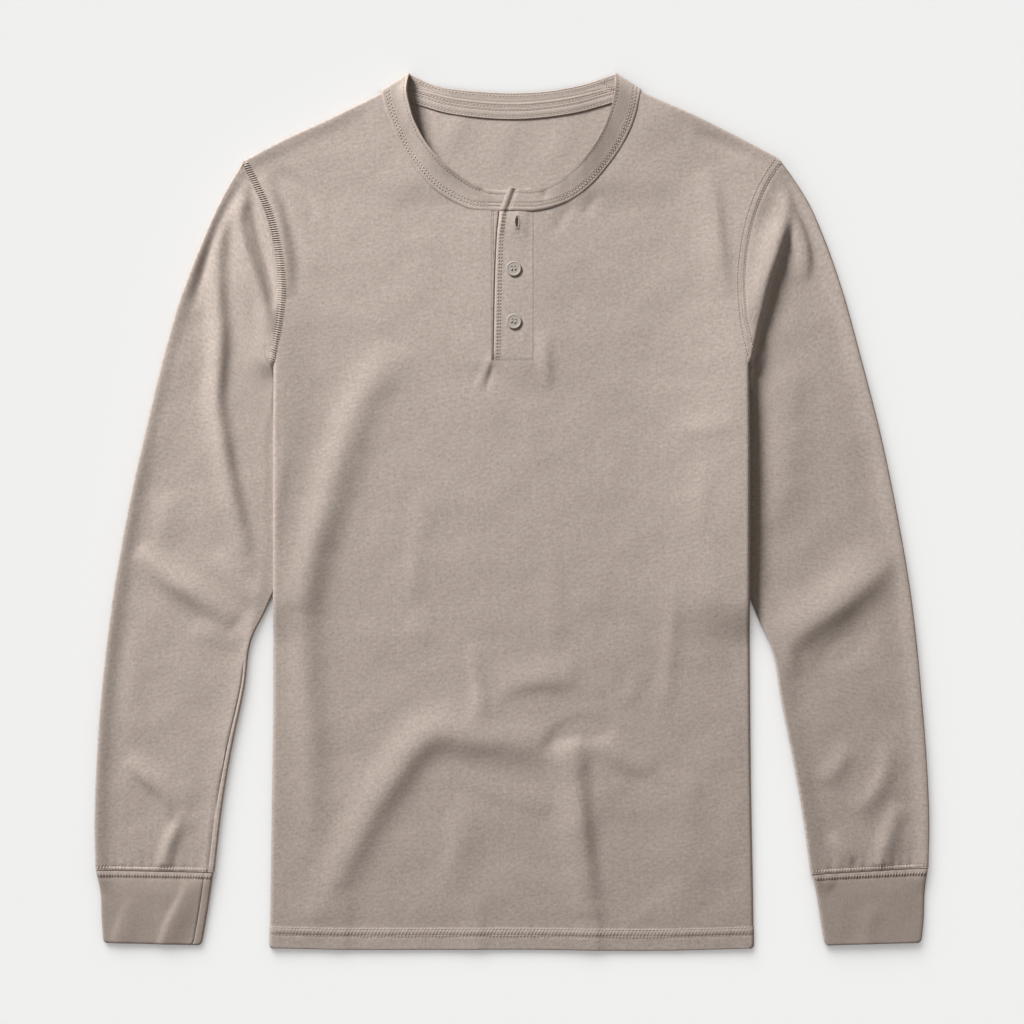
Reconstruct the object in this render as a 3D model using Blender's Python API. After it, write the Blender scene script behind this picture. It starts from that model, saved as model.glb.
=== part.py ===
"""Long-sleeved henley shirt, laid flat, front up.

Frame: +Z up from the surface it lies on, +Y towards the neck, +X to the right
of someone looking down at the front. Origin on the surface, under the middle.

Every cloth piece is a wall with its own thickness. The body is one flattened
tube whose cross-section is a top layer, two rolled edges and a bottom layer;
the front panel takes the top and wraps round the edges, the back panel takes
the rest, and they meet at side seams on the underside. Sleeves and cuffs are
rings lofted from the armholes. All sizes below are in millimetres.
"""
import bpy
import bmesh
import math
import numpy as np

MM = 0.001

# ---------------------------------------------------------------- named sizes
WALL = 1.2              # single jersey
WALL_HEM = 1.9          # turned-up hem, two layers
WALL_FOLDED = 2.0       # neckband and cuffs, cut double
WALL_PLACKET = 1.6
WALL_TAPE = 1.0
SEAM = 0.3              # space between two pieces at a seam
FLOOR = WALL / 2        # middle of the wall that lies on the surface
REST = 3.3              # middle of the front wall where nothing lifts it
ROLL = 2.25             # radius of the rolled edges
HEM_DEPTH = 17.0
SIDE_WRAP = 27.5        # cloth from the edge round to the side seam
WRAP_FULL_AT = 44.0     # y below which the wrap has its full depth
TUCK_LIFT = 4.8         # middle of the body's lower wall over the sleeve
TUCK_FLAT = 14.0        # how far in from the edge it stays up
TUCK_END = 42.0
TUCK_Y = (-112.0, -72.0)
PLACKET_HIGH = 5.0      # middle of the upper placket
PLACKET_LOW = 2.35      # middle of the under placket
PLACKET_LIFT = 1.9      # upper placket over the button beneath it
PLACKET_SEAM_X = -17.6  # left front panel to under placket
PLACKET_RIGHT_X = 18.6  # upper placket to right front panel
PLACKET_FOOT_Y = 125.0
NECK_CORNER = 107.0
BUTTON_R = 6.2
BUTTON_T = 2.2
HOLE_R = 0.75
HOLE_PITCH = 2.7
BUTTONHOLE = (1.9, 9.5)  # slit width and length

# body edge seen from above: y, left x, right x
SIDE = (
    (-361, -199.0, 198.5),
    (-320, -198.3, 198.0),
    (-225, -197.0, 196.2),
    (-155, -196.0, 195.5),
    (-70, -196.0, 195.0),
    (50, -196.0, 195.0),
    (124, -195.5, 194.6),
    (145, -197.0, 196.5),
    (200, -197.5, 197.0),
    (250, -206.0, 205.0),
    (292, -228.0, 227.0),
)
# middle of the front wall along the body's edge: y, left z, right z
EDGE_LIFT = (
    (-361, 4.5, 4.5),
    (-250, 5.1, 5.1),
    (-112, 5.2, 5.2),
    (-72, 9.3, 9.4),
    (20, 9.3, 9.7),
    (124, 9.2, 9.6),
    (200, 7.0, 7.6),
    (292, 5.2, 5.2),
)
# hem line: x, y
HEM = ((-200, -358.8), (-120, -360.4), (0, -360.2), (110, -361.2), (200, -359.0))
# shoulder fold: distance out, left y, right y
SHOULDER = (
    (84, 356.0, 356.8),
    (107, 344.6, 345.0),
    (150, 323.5, 326.0),
    (186, 307.0, 308.0),
    (219, 289.5, 290.2),
    (235, 281.0, 281.5),
)
# armhole seam on the front, shoulder to underarm: left x, left y, right x, right y
ARMHOLE = (
    (-219.8, 289.2, 219.3, 290.0),
    (-211.0, 272.5, 207.5, 272.0),
    (-199.5, 248.0, 198.0, 250.0),
    (-193.0, 225.0, 191.2, 223.0),
    (-189.6, 202.0, 188.2, 197.0),
    (-188.4, 182.0, 188.6, 172.0),
    (-190.2, 161.0, 191.0, 151.0),
    (-193.2, 142.0, 193.4, 140.0),
    (-196.8, 124.0, 195.9, 129.0),
)
TIP_OPEN = 1.2          # the same space right at the underarm point
BACK_ARMHOLE_OUT = 5.0  # the back is cut this much wider at half height
ARM_ROLL = 17.0         # the sleeve's inner edge rolls this wide at the armhole

# neckband: joined edge x, y and free edge x, y. The first row of each side is
# the band's end at the placket; rows named in NECK_PANEL_FROM start the panels.
NECK_LEFT = (
    (14.0, 249.4, 15.0, 266.2),
    (1.0, 248.2, 2.0, 264.8),
    (-8.5, 247.9, -6.0, 264.4),
    (-17.75, 248.0, -15.5, 264.8),
    (-32.0, 250.2, -28.5, 269.4),
    (-46.0, 256.2, -40.5, 277.0),
    (-60.0, 265.0, -53.5, 287.6),
    (-74.0, 278.5, -66.0, 301.8),
    (-87.0, 296.0, -76.0, 318.6),
    (-97.0, 316.0, -82.0, 334.0),
    (-104.2, 333.0, -85.6, 348.0),
    (-107.0, 347.0, -84.8, 360.6),
)
NECK_RIGHT = (
    (-9.6, 248.8, -2.4, 267.2),
    (4.0, 248.2, 10.0, 265.2),
    (18.75, 248.2, 24.0, 266.4),
    (33.0, 251.0, 37.0, 272.0),
    (49.0, 257.4, 50.0, 281.4),
    (64.0, 268.4, 61.6, 294.0),
    (78.0, 284.0, 72.0, 309.6),
    (91.0, 302.6, 79.6, 327.0),
    (100.0, 322.0, 84.0, 343.0),
    (106.0, 347.2, 84.8, 360.6),
)
NECK_BACK = (
    (-107.0, 347.0, -84.8, 360.6),
    (-97.0, 347.8, -78.6, 357.4),
    (-86.0, 346.8, -71.0, 353.8),
    (-74.0, 343.6, -63.0, 350.8),
    (-55.0, 337.8, -48.0, 348.0),
    (-28.0, 333.8, -25.0, 345.8),
    (1.0, 332.2, 1.5, 344.8),
    (30.0, 334.2, 28.0, 346.2),
    (54.0, 338.2, 48.0, 349.4),
    (72.0, 343.2, 62.0, 352.8),
    (86.0, 347.0, 73.0, 356.6),
    (97.0, 348.0, 79.6, 358.8),
    (106.0, 347.2, 84.8, 360.6),
)
TAPE_DEPTH = 8.6
TAPE_HALF = 92.0

# upper placket's folded edge: y, x
PLACKET_FOLD = ((125, -14.6), (150, -14.2), (190, -13.4), (225, -12.0), (248, -9.6))
BUTTONS = (("button_1", 4.2, 238.5), ("button_2", 1.4, 200.2), ("button_3", 1.6, 156.8))

# sleeve sections from the armhole to the cuff seam, fanned round the underarm:
# outer x, y, inner x, y, bow of the armhole left in the section
SLEEVE_EDGE = 5.4       # middle of the upper wall along the edges
SLEEVE_FLAT = 4.3       # and between them
SLEEVE_UNDER = 3.25     # where the body lies over it
SLEEVE_LEFT = (
    (-220.0, 290.0, -197.0, 124.0, 1.00),
    (-229.0, 276.0, -198.5, 118.5, 0.88),
    (-242.0, 252.0, -198.4, 111.5, 0.70),
    (-258.0, 215.0, -197.4, 103.0, 0.48),
    (-272.0, 178.0, -195.4, 93.0, 0.30),
    (-287.0, 126.0, -191.6, 78.0, 0.16),
    (-300.0, 72.0, -188.5, 54.0, 0.06),
    (-311.0, 24.0, -186.8, 12.0, 0.00),
    (-318.5, -14.0, -187.4, -28.0, 0.00),
    (-323.5, -42.0, -192.0, -52.0, 0.00),
    (-326.2, -58.0, -197.3, -66.0, 0.00),
    (-328.6, -74.0, -203.0, -80.0, 0.00),
    (-331.0, -92.0, -209.6, -93.0, 0.00),
    (-333.2, -110.0, -215.2, -106.0, 0.00),
    (-337.6, -152.0, -220.6, -144.0, 0.00),
    (-341.0, -200.0, -231.0, -194.0, 0.00),
    (-343.0, -254.0, -239.6, -246.0, 0.00),
    (-342.2, -294.4, -245.4, -296.4, 0.00),
)
SLEEVE_RIGHT = (
    (219.6, 290.6, 196.1, 129.0, 1.00),
    (229.0, 278.0, 198.1, 122.0, 0.88),
    (243.0, 256.0, 197.9, 114.0, 0.70),
    (257.5, 223.0, 196.8, 105.0, 0.48),
    (271.0, 184.0, 195.0, 94.0, 0.30),
    (286.5, 128.0, 191.2, 78.0, 0.16),
    (300.5, 74.0, 188.0, 54.0, 0.06),
    (311.5, 24.0, 185.8, 12.0, 0.00),
    (318.8, -14.0, 186.4, -28.0, 0.00),
    (323.8, -42.0, 191.4, -54.0, 0.00),
    (326.3, -58.0, 196.6, -70.0, 0.00),
    (328.6, -74.0, 202.6, -86.0, 0.00),
    (330.9, -93.0, 209.2, -100.0, 0.00),
    (333.0, -112.0, 215.0, -114.0, 0.00),
    (337.0, -156.0, 222.0, -154.0, 0.00),
    (340.6, -202.0, 232.0, -204.0, 0.00),
    (342.8, -252.0, 240.6, -254.0, 0.00),
    (342.2, -292.6, 246.4, -298.0, 0.00),
)
# cuff sections: outer x, y, inner x, y, wall heights above and below
CUFF_LEFT = (
    (-341.4, -295.1, -246.6, -297.1, 5.0, 1.0),
    (-338.2, -310.0, -248.8, -311.0, 5.2, 1.0),
    (-337.0, -334.0, -252.6, -335.0, 5.2, 1.0),
    (-335.6, -354.2, -256.4, -356.2, 5.0, 1.0),
)
CUFF_RIGHT = (
    (341.2, -293.3, 248.4, -298.7, 5.0, 1.0),
    (338.8, -312.0, 251.6, -314.0, 5.2, 1.0),
    (338.0, -334.0, 255.0, -336.0, 5.2, 1.0),
    (336.0, -354.0, 258.4, -356.2, 5.0, 1.0),
)

# largest folds of the front: rise, width on the left of the path, width on
# its right, then the crest from one end to the other
FRONT_FOLDS = (
    ("hem arc", 5.0, 21, 12, ((-160, -332), (-135, -285), (-108, -236), (-77, -192), (-40, -182), (0, -183), (38, -192))),
    ("side fold", 3.2, 15, 19, ((-104, 121), (-124, 92), (-138, 58), (-152, 17), (-165, -24), (-176, -76), (-174, -150))),
    ("right crease", 3.0, 10, 19, ((53, -196), (56, -237), (59, -270), (62, -312))),
    ("waist bump", 2.2, 17, 9, ((24, -186), (43, -172), (74, -168))),
    ("waist fold", 1.4, 17, 9, ((-12, -150), (23, -140), (58, -140))),
    ("right line", 1.4, 11, 11, ((132, -50), (131, -114), (127, -176))),
    ("left armhole", 1.5, 10, 14, ((-196, 262), (-189, 228), (-186, 196), (-188, 160))),
    ("right chest", 1.5, 9, 16, ((168, 276), (174, 232), (178, 196), (182, 168))),
)
# the same for the sleeves
SLEEVE_FOLDS_LEFT = (
    ("armhole ridge", 3.4, 8, 9, ((-226, 270), (-219, 233), (-212, 207), (-205, 181), (-200, 150))),
    ("long fold", 2.8, 12, 14, ((-233, 222), (-236, 158), (-239, 100), (-238, 40), (-230, -26))),
    ("elbow fold", 2.8, 14, 10, ((-304, -36), (-280, -56), (-258, -71), (-226, -90))),
    ("elbow top", 1.8, 9, 8, ((-248, -44), (-226, -60), (-208, -73))),
    ("lower fold", 1.6, 12, 11, ((-312, -208), (-291, -225), (-268, -246))),
)
SLEEVE_FOLDS_RIGHT = (
    ("armhole ridge", 4.6, 13, 9, ((221, 258), (219, 222), (212, 194), (206, 172), (203, 140))),
    ("elbow fold", 4.2, 10, 20, ((312, -30), (292, -57), (270, -76), (246, -93), (222, -114))),
    ("lower fold", 1.6, 11, 13, ((306, -186), (288, -212), (268, -240))),
)

# how finely each wall is divided
LOWER_ROWS = (-361, -344, -325, -305, -286, -267, -248, -230, -213, -197, -183, -170, -152, -112, -72, -20, 32, 78, 107, 119.5, 125)
ARMHOLE_STEPS = (0.0, 0.004, 0.0135, 0.07, 0.15, 0.24, 0.33, 0.43, 0.53, 0.63, 0.73, 0.82, 0.90, 0.96, 1.0)
HALF_COLUMNS = 12
SLIT_ROWS = 3
SHOULDER_COLUMNS = (0.0, 0.5, 0.95)
NECK_ROWS = 9


# ---------------------------------------------------------------- curves
def track(rows, x, column):
    """Smooth value of a table's column at x; the first column rises."""
    xs = np.array([r[0] for r in rows], float)
    ys = np.array([r[column] for r in rows], float)
    step = np.diff(xs)
    grade = np.diff(ys) / step
    slope = np.zeros(len(xs))
    same = grade[:-1] * grade[1:] > 0
    both = np.where(same, grade[:-1] + grade[1:], 1.0)
    slope[1:-1] = np.where(same, 2 * grade[:-1] * grade[1:] / both, 0.0)
    slope[0], slope[-1] = grade[0], grade[-1]
    x = np.clip(np.asarray(x, float), xs[0], xs[-1])
    i = np.clip(np.searchsorted(xs, x, side="right") - 1, 0, len(step) - 1)
    t = (x - xs[i]) / step[i]
    return ((2 * t**3 - 3 * t**2 + 1) * ys[i] + (t**3 - 2 * t**2 + t) * step[i] * slope[i]
            + (3 * t**2 - 2 * t**3) * ys[i + 1] + (t**3 - t**2) * step[i] * slope[i + 1])


class Path:
    """Smooth curve through table rows, read by its fraction of length."""

    def __init__(self, rows, per=12, measure=None):
        pts = np.array(rows, float)
        lead = pts if measure is None else pts[:, :measure]
        gap = np.maximum(np.linalg.norm(np.diff(lead, axis=0), axis=1), 1e-6)
        knots = np.concatenate([[0], np.cumsum(gap)])
        grade = np.diff(pts, axis=0) / gap[:, None]
        slope = np.empty_like(pts)
        slope[1:-1] = (grade[:-1] * gap[1:, None] + grade[1:] * gap[:-1, None]) / (gap[1:] + gap[:-1])[:, None]
        slope[0], slope[-1] = grade[0], grade[-1]
        out = []
        for i in range(len(gap)):
            for t in np.arange(per) / per:
                out.append((2 * t**3 - 3 * t**2 + 1) * pts[i] + (t**3 - 2 * t**2 + t) * gap[i] * slope[i]
                           + (3 * t**2 - 2 * t**3) * pts[i + 1] + (t**3 - t**2) * gap[i] * slope[i + 1])
        out.append(pts[-1])
        self.points = np.array(out)
        self.knots = knots / knots[-1]
        lead = self.points if measure is None else self.points[:, :measure]
        run = np.concatenate([[0], np.cumsum(np.linalg.norm(np.diff(lead, axis=0), axis=1))])
        self.length = run[-1]
        self.run = run / run[-1]

    def at(self, fraction):
        return np.stack([np.interp(fraction, self.run, self.points[:, k])
                         for k in range(self.points.shape[1])], axis=-1)


def ease(t):
    t = np.clip(t, 0, 1)
    return t * t * (3 - 2 * t)


def offset_line(points, distance):
    """Moves a drawn line sideways, to the left of its direction, corners kept sharp."""
    p = np.asarray(points, float)
    d = np.diff(p, axis=0)
    d /= np.linalg.norm(d, axis=1)[:, None]
    n = np.stack([-d[:, 1], d[:, 0]], axis=-1)
    at = np.vstack([n[:1], n[:-1] + n[1:], n[-1:]])
    at /= np.linalg.norm(at, axis=1)[:, None]
    cos = np.sum(at * np.vstack([n[:1], n]), axis=1)
    return p + at * (distance / cos)[:, None]


def fold_height(x, y, folds):
    """Sum of soft ridges and troughs that follow their paths and die out at the ends."""
    total = np.zeros_like(x)
    for _, rise, wide_left, wide_right, rows in folds:
        q = Path(rows, per=6).points
        a, b = q[:-1], q[1:]
        ab = b - a
        size = np.linalg.norm(ab, axis=1)
        start = np.concatenate([[0], np.cumsum(size)])
        best = np.full(x.shape, 1e9)
        along = np.zeros_like(x)
        side = np.zeros_like(x)
        for i in range(len(a)):
            t = np.clip(((x - a[i, 0]) * ab[i, 0] + (y - a[i, 1]) * ab[i, 1]) / size[i] ** 2, 0, 1)
            dx, dy = x - a[i, 0] - t * ab[i, 0], y - a[i, 1] - t * ab[i, 1]
            d = np.hypot(dx, dy)
            near = d < best
            best = np.where(near, d, best)
            along = np.where(near, (start[i] + t * size[i]) / start[-1], along)
            side = np.where(near, ab[i, 0] * dy - ab[i, 1] * dx, side)
        width = np.where(side > 0, wide_left, wide_right)
        total += rise * np.sin(math.pi * along) ** 0.7 * np.exp(-(best / width) ** 2)
    return total


# ---------------------------------------------------------------- body tube
def side_edges(y):
    return track(SIDE, y, 1), track(SIDE, y, 2)


def shoulder_gap(x, y):
    """Distance inside the shoulder fold, which ends at the neckband's corner."""
    x, y = np.asarray(x, float), np.asarray(y, float)
    out = np.abs(x)
    line = lambda at: np.where(x < 0, track(SHOULDER, at, 1), track(SHOULDER, at, 2))
    corner = line(NECK_CORNER + 0 * out)
    before = (out - NECK_CORNER) * 0.89 - (y - corner) * 0.46 < 0
    return np.where(before, np.hypot(out - NECK_CORNER, corner - y), (line(out) - y) * 0.89)


def lower_wall(x, y):
    """Middle of the wall that lies below: on the surface, or over the tucked sleeve."""
    xl, xr = side_edges(y)
    inside = np.minimum(x - xl, xr - x)
    near_edge = 1 - ease((inside - TUCK_FLAT) / (TUCK_END - TUCK_FLAT))
    along = ease((y - TUCK_Y[0]) / (TUCK_Y[1] - TUCK_Y[0])) * (1 - ease((y - 128) / 55))
    hem = 1 - ease((y - track(HEM, x, 1) - HEM_DEPTH + 2) / 4)
    return FLOOR + (TUCK_LIFT - FLOOR) * near_edge * along + (WALL_HEM - WALL) / 2 * hem


def upper_wall(x, y):
    """Middle of the front wall, before the shoulder fold takes it down."""
    xl, xr = side_edges(y)
    z = np.full_like(x, REST)
    z = z + (track(EDGE_LIFT, y, 1) - REST) * np.exp(-(np.maximum(x - xl, 0) / 30) ** 1.7)
    z = z + (track(EDGE_LIFT, y, 2) - REST) * np.exp(-(np.maximum(xr - x, 0) / 30) ** 1.7)
    # up to the upper placket on its right, level with the under placket on its left
    beside = np.where(x > 16, np.exp(-((x - 16) / 42) ** 2), ease((x + 16) / 30))
    z = z + (PLACKET_HIGH - REST) * beside * ease((y - 92) / 34) * (1 - 0.0 * y)
    left = np.exp(-((x + 17) / 16) ** 2) * np.where(x < 10, 1.0, 0.0)
    z = z - 0.3 * left * ease((y - 110) / 16)
    # round the neck towards the shoulders
    gap = shoulder_gap(x, y)
    z = z + 1.9 * np.exp(-(np.maximum(gap, 0) / 34) ** 2) * np.where(np.abs(x) < 219, 1.0, 0.6)
    z = z + fold_height(x, y, FRONT_FOLDS)
    return np.maximum(z, lower_wall(x, y) + 2.6)


def turn_shoulder(x, y, z, low, high, sign):
    """Takes a wall round the shoulder fold to half height."""
    u = np.clip(shoulder_gap(x, y) / ROLL, 0, 1)
    rise = np.sqrt(np.maximum(1 - (1 - u) ** 2, 0))
    middle = (low + high) / 2
    return np.where(u < 1, middle + sign * np.maximum((high - low) / 2 * rise, SEAM / 2), z)


def wrap(s, y, sign):
    """Cloth coordinate to place. sign +1: measured on the top layer and carried
    round the edges underneath; -1: measured on the bottom layer and carried up."""
    s, y = np.broadcast_arrays(np.asarray(s, float), np.asarray(y, float))
    xl, xr = side_edges(y)
    x = s.copy()
    for hand, edge in ((-1, xl), (1, xr)):
        inside = (edge - s) * hand
        turn = np.clip((ROLL - inside) / ROLL, 0, math.pi)
        inset = np.where(inside >= ROLL, inside, ROLL - ROLL * np.sin(turn))
        past = (ROLL - math.pi * ROLL) - inside
        inset = np.where(past > 0, ROLL + past, inset)
        x = np.where(inside < ROLL, edge - hand * inset, x)
    turn_l = np.clip((ROLL - (s - xl)) / ROLL, 0, math.pi)
    turn_r = np.clip((ROLL - (xr - s)) / ROLL, 0, math.pi)
    turn = np.maximum(turn_l, turn_r)
    at = np.clip(x, xl + ROLL, xr - ROLL)
    high, low = upper_wall(at, y), lower_wall(at, y)
    z = (high + low) / 2 + sign * (high - low) / 2 * np.cos(turn)
    z = turn_shoulder(x, y, z, low, high, sign)
    return np.stack([x, y, z], axis=-1)


def wrap_normal(s, y, sign, step=0.02):
    """Outward normal of the tube, across its section."""
    a, b = wrap(s - step, y, sign), wrap(s + step, y, sign)
    d = b - a
    n = np.stack([-d[..., 2], np.zeros_like(d[..., 0]), d[..., 0]], axis=-1)
    n = n / np.linalg.norm(n, axis=-1, keepdims=True)
    return n * sign


# ---------------------------------------------------------------- sheets
class Sheet:
    """Middle surface of a wall: points, faces and the directions kept at seams."""

    def __init__(self):
        self.points, self.faces, self.fixed, self.where = [], [], {}, {}

    def vertex(self, key, point, normal=None):
        if key not in self.where:
            self.where[key] = len(self.points)
            self.points.append(np.asarray(point, float))
        i = self.where[key]
        if normal is not None:
            self.fixed[i] = np.asarray(normal, float)
        return i

    def face(self, *corners):
        ring = []
        for c in corners:
            if c not in ring:
                ring.append(c)
        if len(ring) > 2:
            self.faces.append(ring)

    def grid(self, index):
        for r in range(len(index) - 1):
            for c in range(len(index[r]) - 1):
                self.face(index[r][c], index[r][c + 1], index[r + 1][c + 1], index[r + 1][c])


def vertex_normals(points, faces, fixed):
    n = np.zeros_like(points)
    for f in faces:
        for k in range(1, len(f) - 1):
            a, b, c = points[f[0]], points[f[k]], points[f[k + 1]]
            w = np.cross(b - a, c - a)
            for i in (f[0], f[k], f[k + 1]):
                n[i] += w
    n /= np.maximum(np.linalg.norm(n, axis=1), 1e-9)[:, None]
    for i, v in fixed.items():
        n[i] = v / np.linalg.norm(v)
    return n


def cloth(name, sheet, wall, colour, rough=0.9):
    """Gives a sheet its thickness, half to each side, and closes the rims."""
    pts = np.array(sheet.points)
    n = vertex_normals(pts, sheet.faces, sheet.fixed)
    half = np.broadcast_to(np.asarray(wall(pts) if callable(wall) else wall, float) / 2, (len(pts),))[:, None]
    outer, inner = pts + n * half, pts - n * half
    count = len(pts)
    edges = {}
    for f in sheet.faces:
        for i in range(len(f)):
            edges[(f[i], f[(i + 1) % len(f)])] = True
    faces = [list(f) for f in sheet.faces] + [[i + count for i in reversed(f)] for f in sheet.faces]
    for a, b in edges:
        if (b, a) not in edges:
            faces.append([b, a, a + count, b + count])
    mesh = bpy.data.meshes.new(name)
    mesh.from_pydata([tuple(v * MM) for v in np.vstack([outer, inner])], [], faces)
    mesh.update()
    obj = bpy.data.objects.new(name, mesh)
    bpy.context.scene.collection.objects.link(obj)
    mesh.shade_smooth()
    mesh.set_sharp_from_angle(angle=math.radians(50))
    paint(obj, name, colour, rough)
    return obj


def paint(obj, name, colour, rough):
    mat = bpy.data.materials.new(name)
    mat.use_nodes = True
    shader = mat.node_tree.nodes["Principled BSDF"]
    shader.inputs["Base Color"].default_value = (*colour, 1)
    shader.inputs["Roughness"].default_value = rough
    shader.inputs["Metallic"].default_value = 0
    obj.data.materials.append(mat)


def hem_wall(points):
    x, y = points[:, 0], points[:, 1]
    depth = y - track(HEM, x, 1)
    return WALL + (WALL_HEM - WALL) * (1 - ease((depth - HEM_DEPTH + 2) / 4))


# ---------------------------------------------------------------- armholes
class Armhole:
    """Seam line round one armhole: front half and back half, shoulder to underarm."""

    def __init__(self, hand):
        k = 0 if hand < 0 else 2
        self.hand = hand
        steps = np.array(ARMHOLE_STEPS)
        self.front = Path([(r[k], r[k + 1]) for r in ARMHOLE]).at(steps)
        wider = hand * BACK_ARMHOLE_OUT * np.sin(math.pi * steps) ** 1.3
        self.back = self.front + np.stack([wider, 0 * steps], axis=-1)
        chord = self.front[-1] - self.front[0]
        chord /= np.linalg.norm(chord)
        self.down = np.array([chord[0], chord[1], 0.0])
        self.across = hand * np.array([-chord[1], chord[0], 0.0])
        top = wrap(self.front[:, 0], self.front[:, 1], 1)
        low = wrap(self.back[:, 0], self.back[:, 1], -1)
        for end in (0, -1):
            middle = (top[end] + low[end]) / 2
            half = SEAM / 2 if end == 0 else TIP_OPEN / 2
            top[end] = middle + [0, 0, half]
            low[end] = middle - [0, 0, half]
        ring = np.vstack([top, low[::-1]])
        n = np.cross(np.roll(ring, -1, axis=0) - np.roll(ring, 1, axis=0), self.across)
        n /= np.linalg.norm(n, axis=1)[:, None]
        n *= np.sign(n[len(steps) // 2, 2])
        self.top, self.low = top, low
        self.top_n, self.low_n = n[:len(steps)], n[len(steps):][::-1]
        # at the underarm point the body's edge and the sleeve's edge part company
        tip = self.across * 0.85 + self.down * 0.527
        for line in (self.top_n, self.low_n):
            line[0], line[-1] = -self.down, tip
        self.tip_n = self.down * 0.8 - self.across * 0.6


ARM = {-1: Armhole(-1), 1: Armhole(1)}
UNDER = {hand: ARM[hand].top[-1, :2] for hand in (-1, 1)}


def wrap_depth(y, hand):
    """Cloth between the edge and the side seam."""
    t = np.clip((UNDER[hand][1] - y) / (UNDER[hand][1] - WRAP_FULL_AT), 0, 1)
    return SIDE_WRAP * (1 - (1 - t) ** 2)


def roll_offset(edge_to, hand, y, sign):
    """Cloth coordinate that lies edge_to past the fold's outermost line."""
    xl, xr = side_edges(y)
    edge = xl if hand < 0 else xr
    if sign > 0:
        return edge + hand * (0.5708 * ROLL + edge_to)
    return edge + hand * (0.5708 * ROLL - edge_to)


# ---------------------------------------------------------------- neckline
def neck_side(rows, first):
    """Stations of one front side of the neckband: the straight rows at the
    placket as they stand, then even steps, then two close to the shoulder fold."""
    path = Path(rows[first:])
    length = path.length / math.sqrt(2)
    near = 1 - ROLL / length
    f = np.concatenate([np.arange(NECK_ROWS) / NECK_ROWS * near, [near, 1 - 0.29 * ROLL / length, 1.0]])
    return np.vstack([np.array(rows[:first], float).reshape(-1, 4), path.at(f)])


def neck_behind():
    path = Path(NECK_BACK)
    length = path.length / math.sqrt(2)
    near = ROLL / length
    f = np.concatenate([[0.29 * near, near], near + (1 - 2 * near) * np.arange(1, 9) / 9,
                        [1 - near, 1 - 0.29 * near]])
    return path.at(f)


LEFT_FIRST, RIGHT_FIRST = 3, 2      # first rows of the tables that touch the panels
BAND_LEFT = neck_side(NECK_LEFT, LEFT_FIRST)
BAND_RIGHT = neck_side(NECK_RIGHT, RIGHT_FIRST)
BAND_BACK = neck_behind()


# ---------------------------------------------------------------- front panel
def blend_patch(left, right, bottom, top, u, v):
    """Transfinite patch: left and right by rows, bottom and top by columns."""
    u, v = np.asarray(u)[None, :, None], np.asarray(v)[:, None, None]
    sides = (1 - u) * left[:, None, :] + u * right[:, None, :]
    ends = (1 - v) * bottom[None, :, :] + v * top[None, :, :]
    corners = ((1 - u) * (1 - v) * bottom[0] + u * (1 - v) * bottom[-1]
               + (1 - u) * v * top[0] + u * v * top[-1])
    return sides + ends - corners


def front_rows():
    """Share of the way from the hem to the underarm row, for each row."""
    r = np.array(LOWER_ROWS, float)
    return (r - r[0]) / (r[-1] - r[0])


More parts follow.
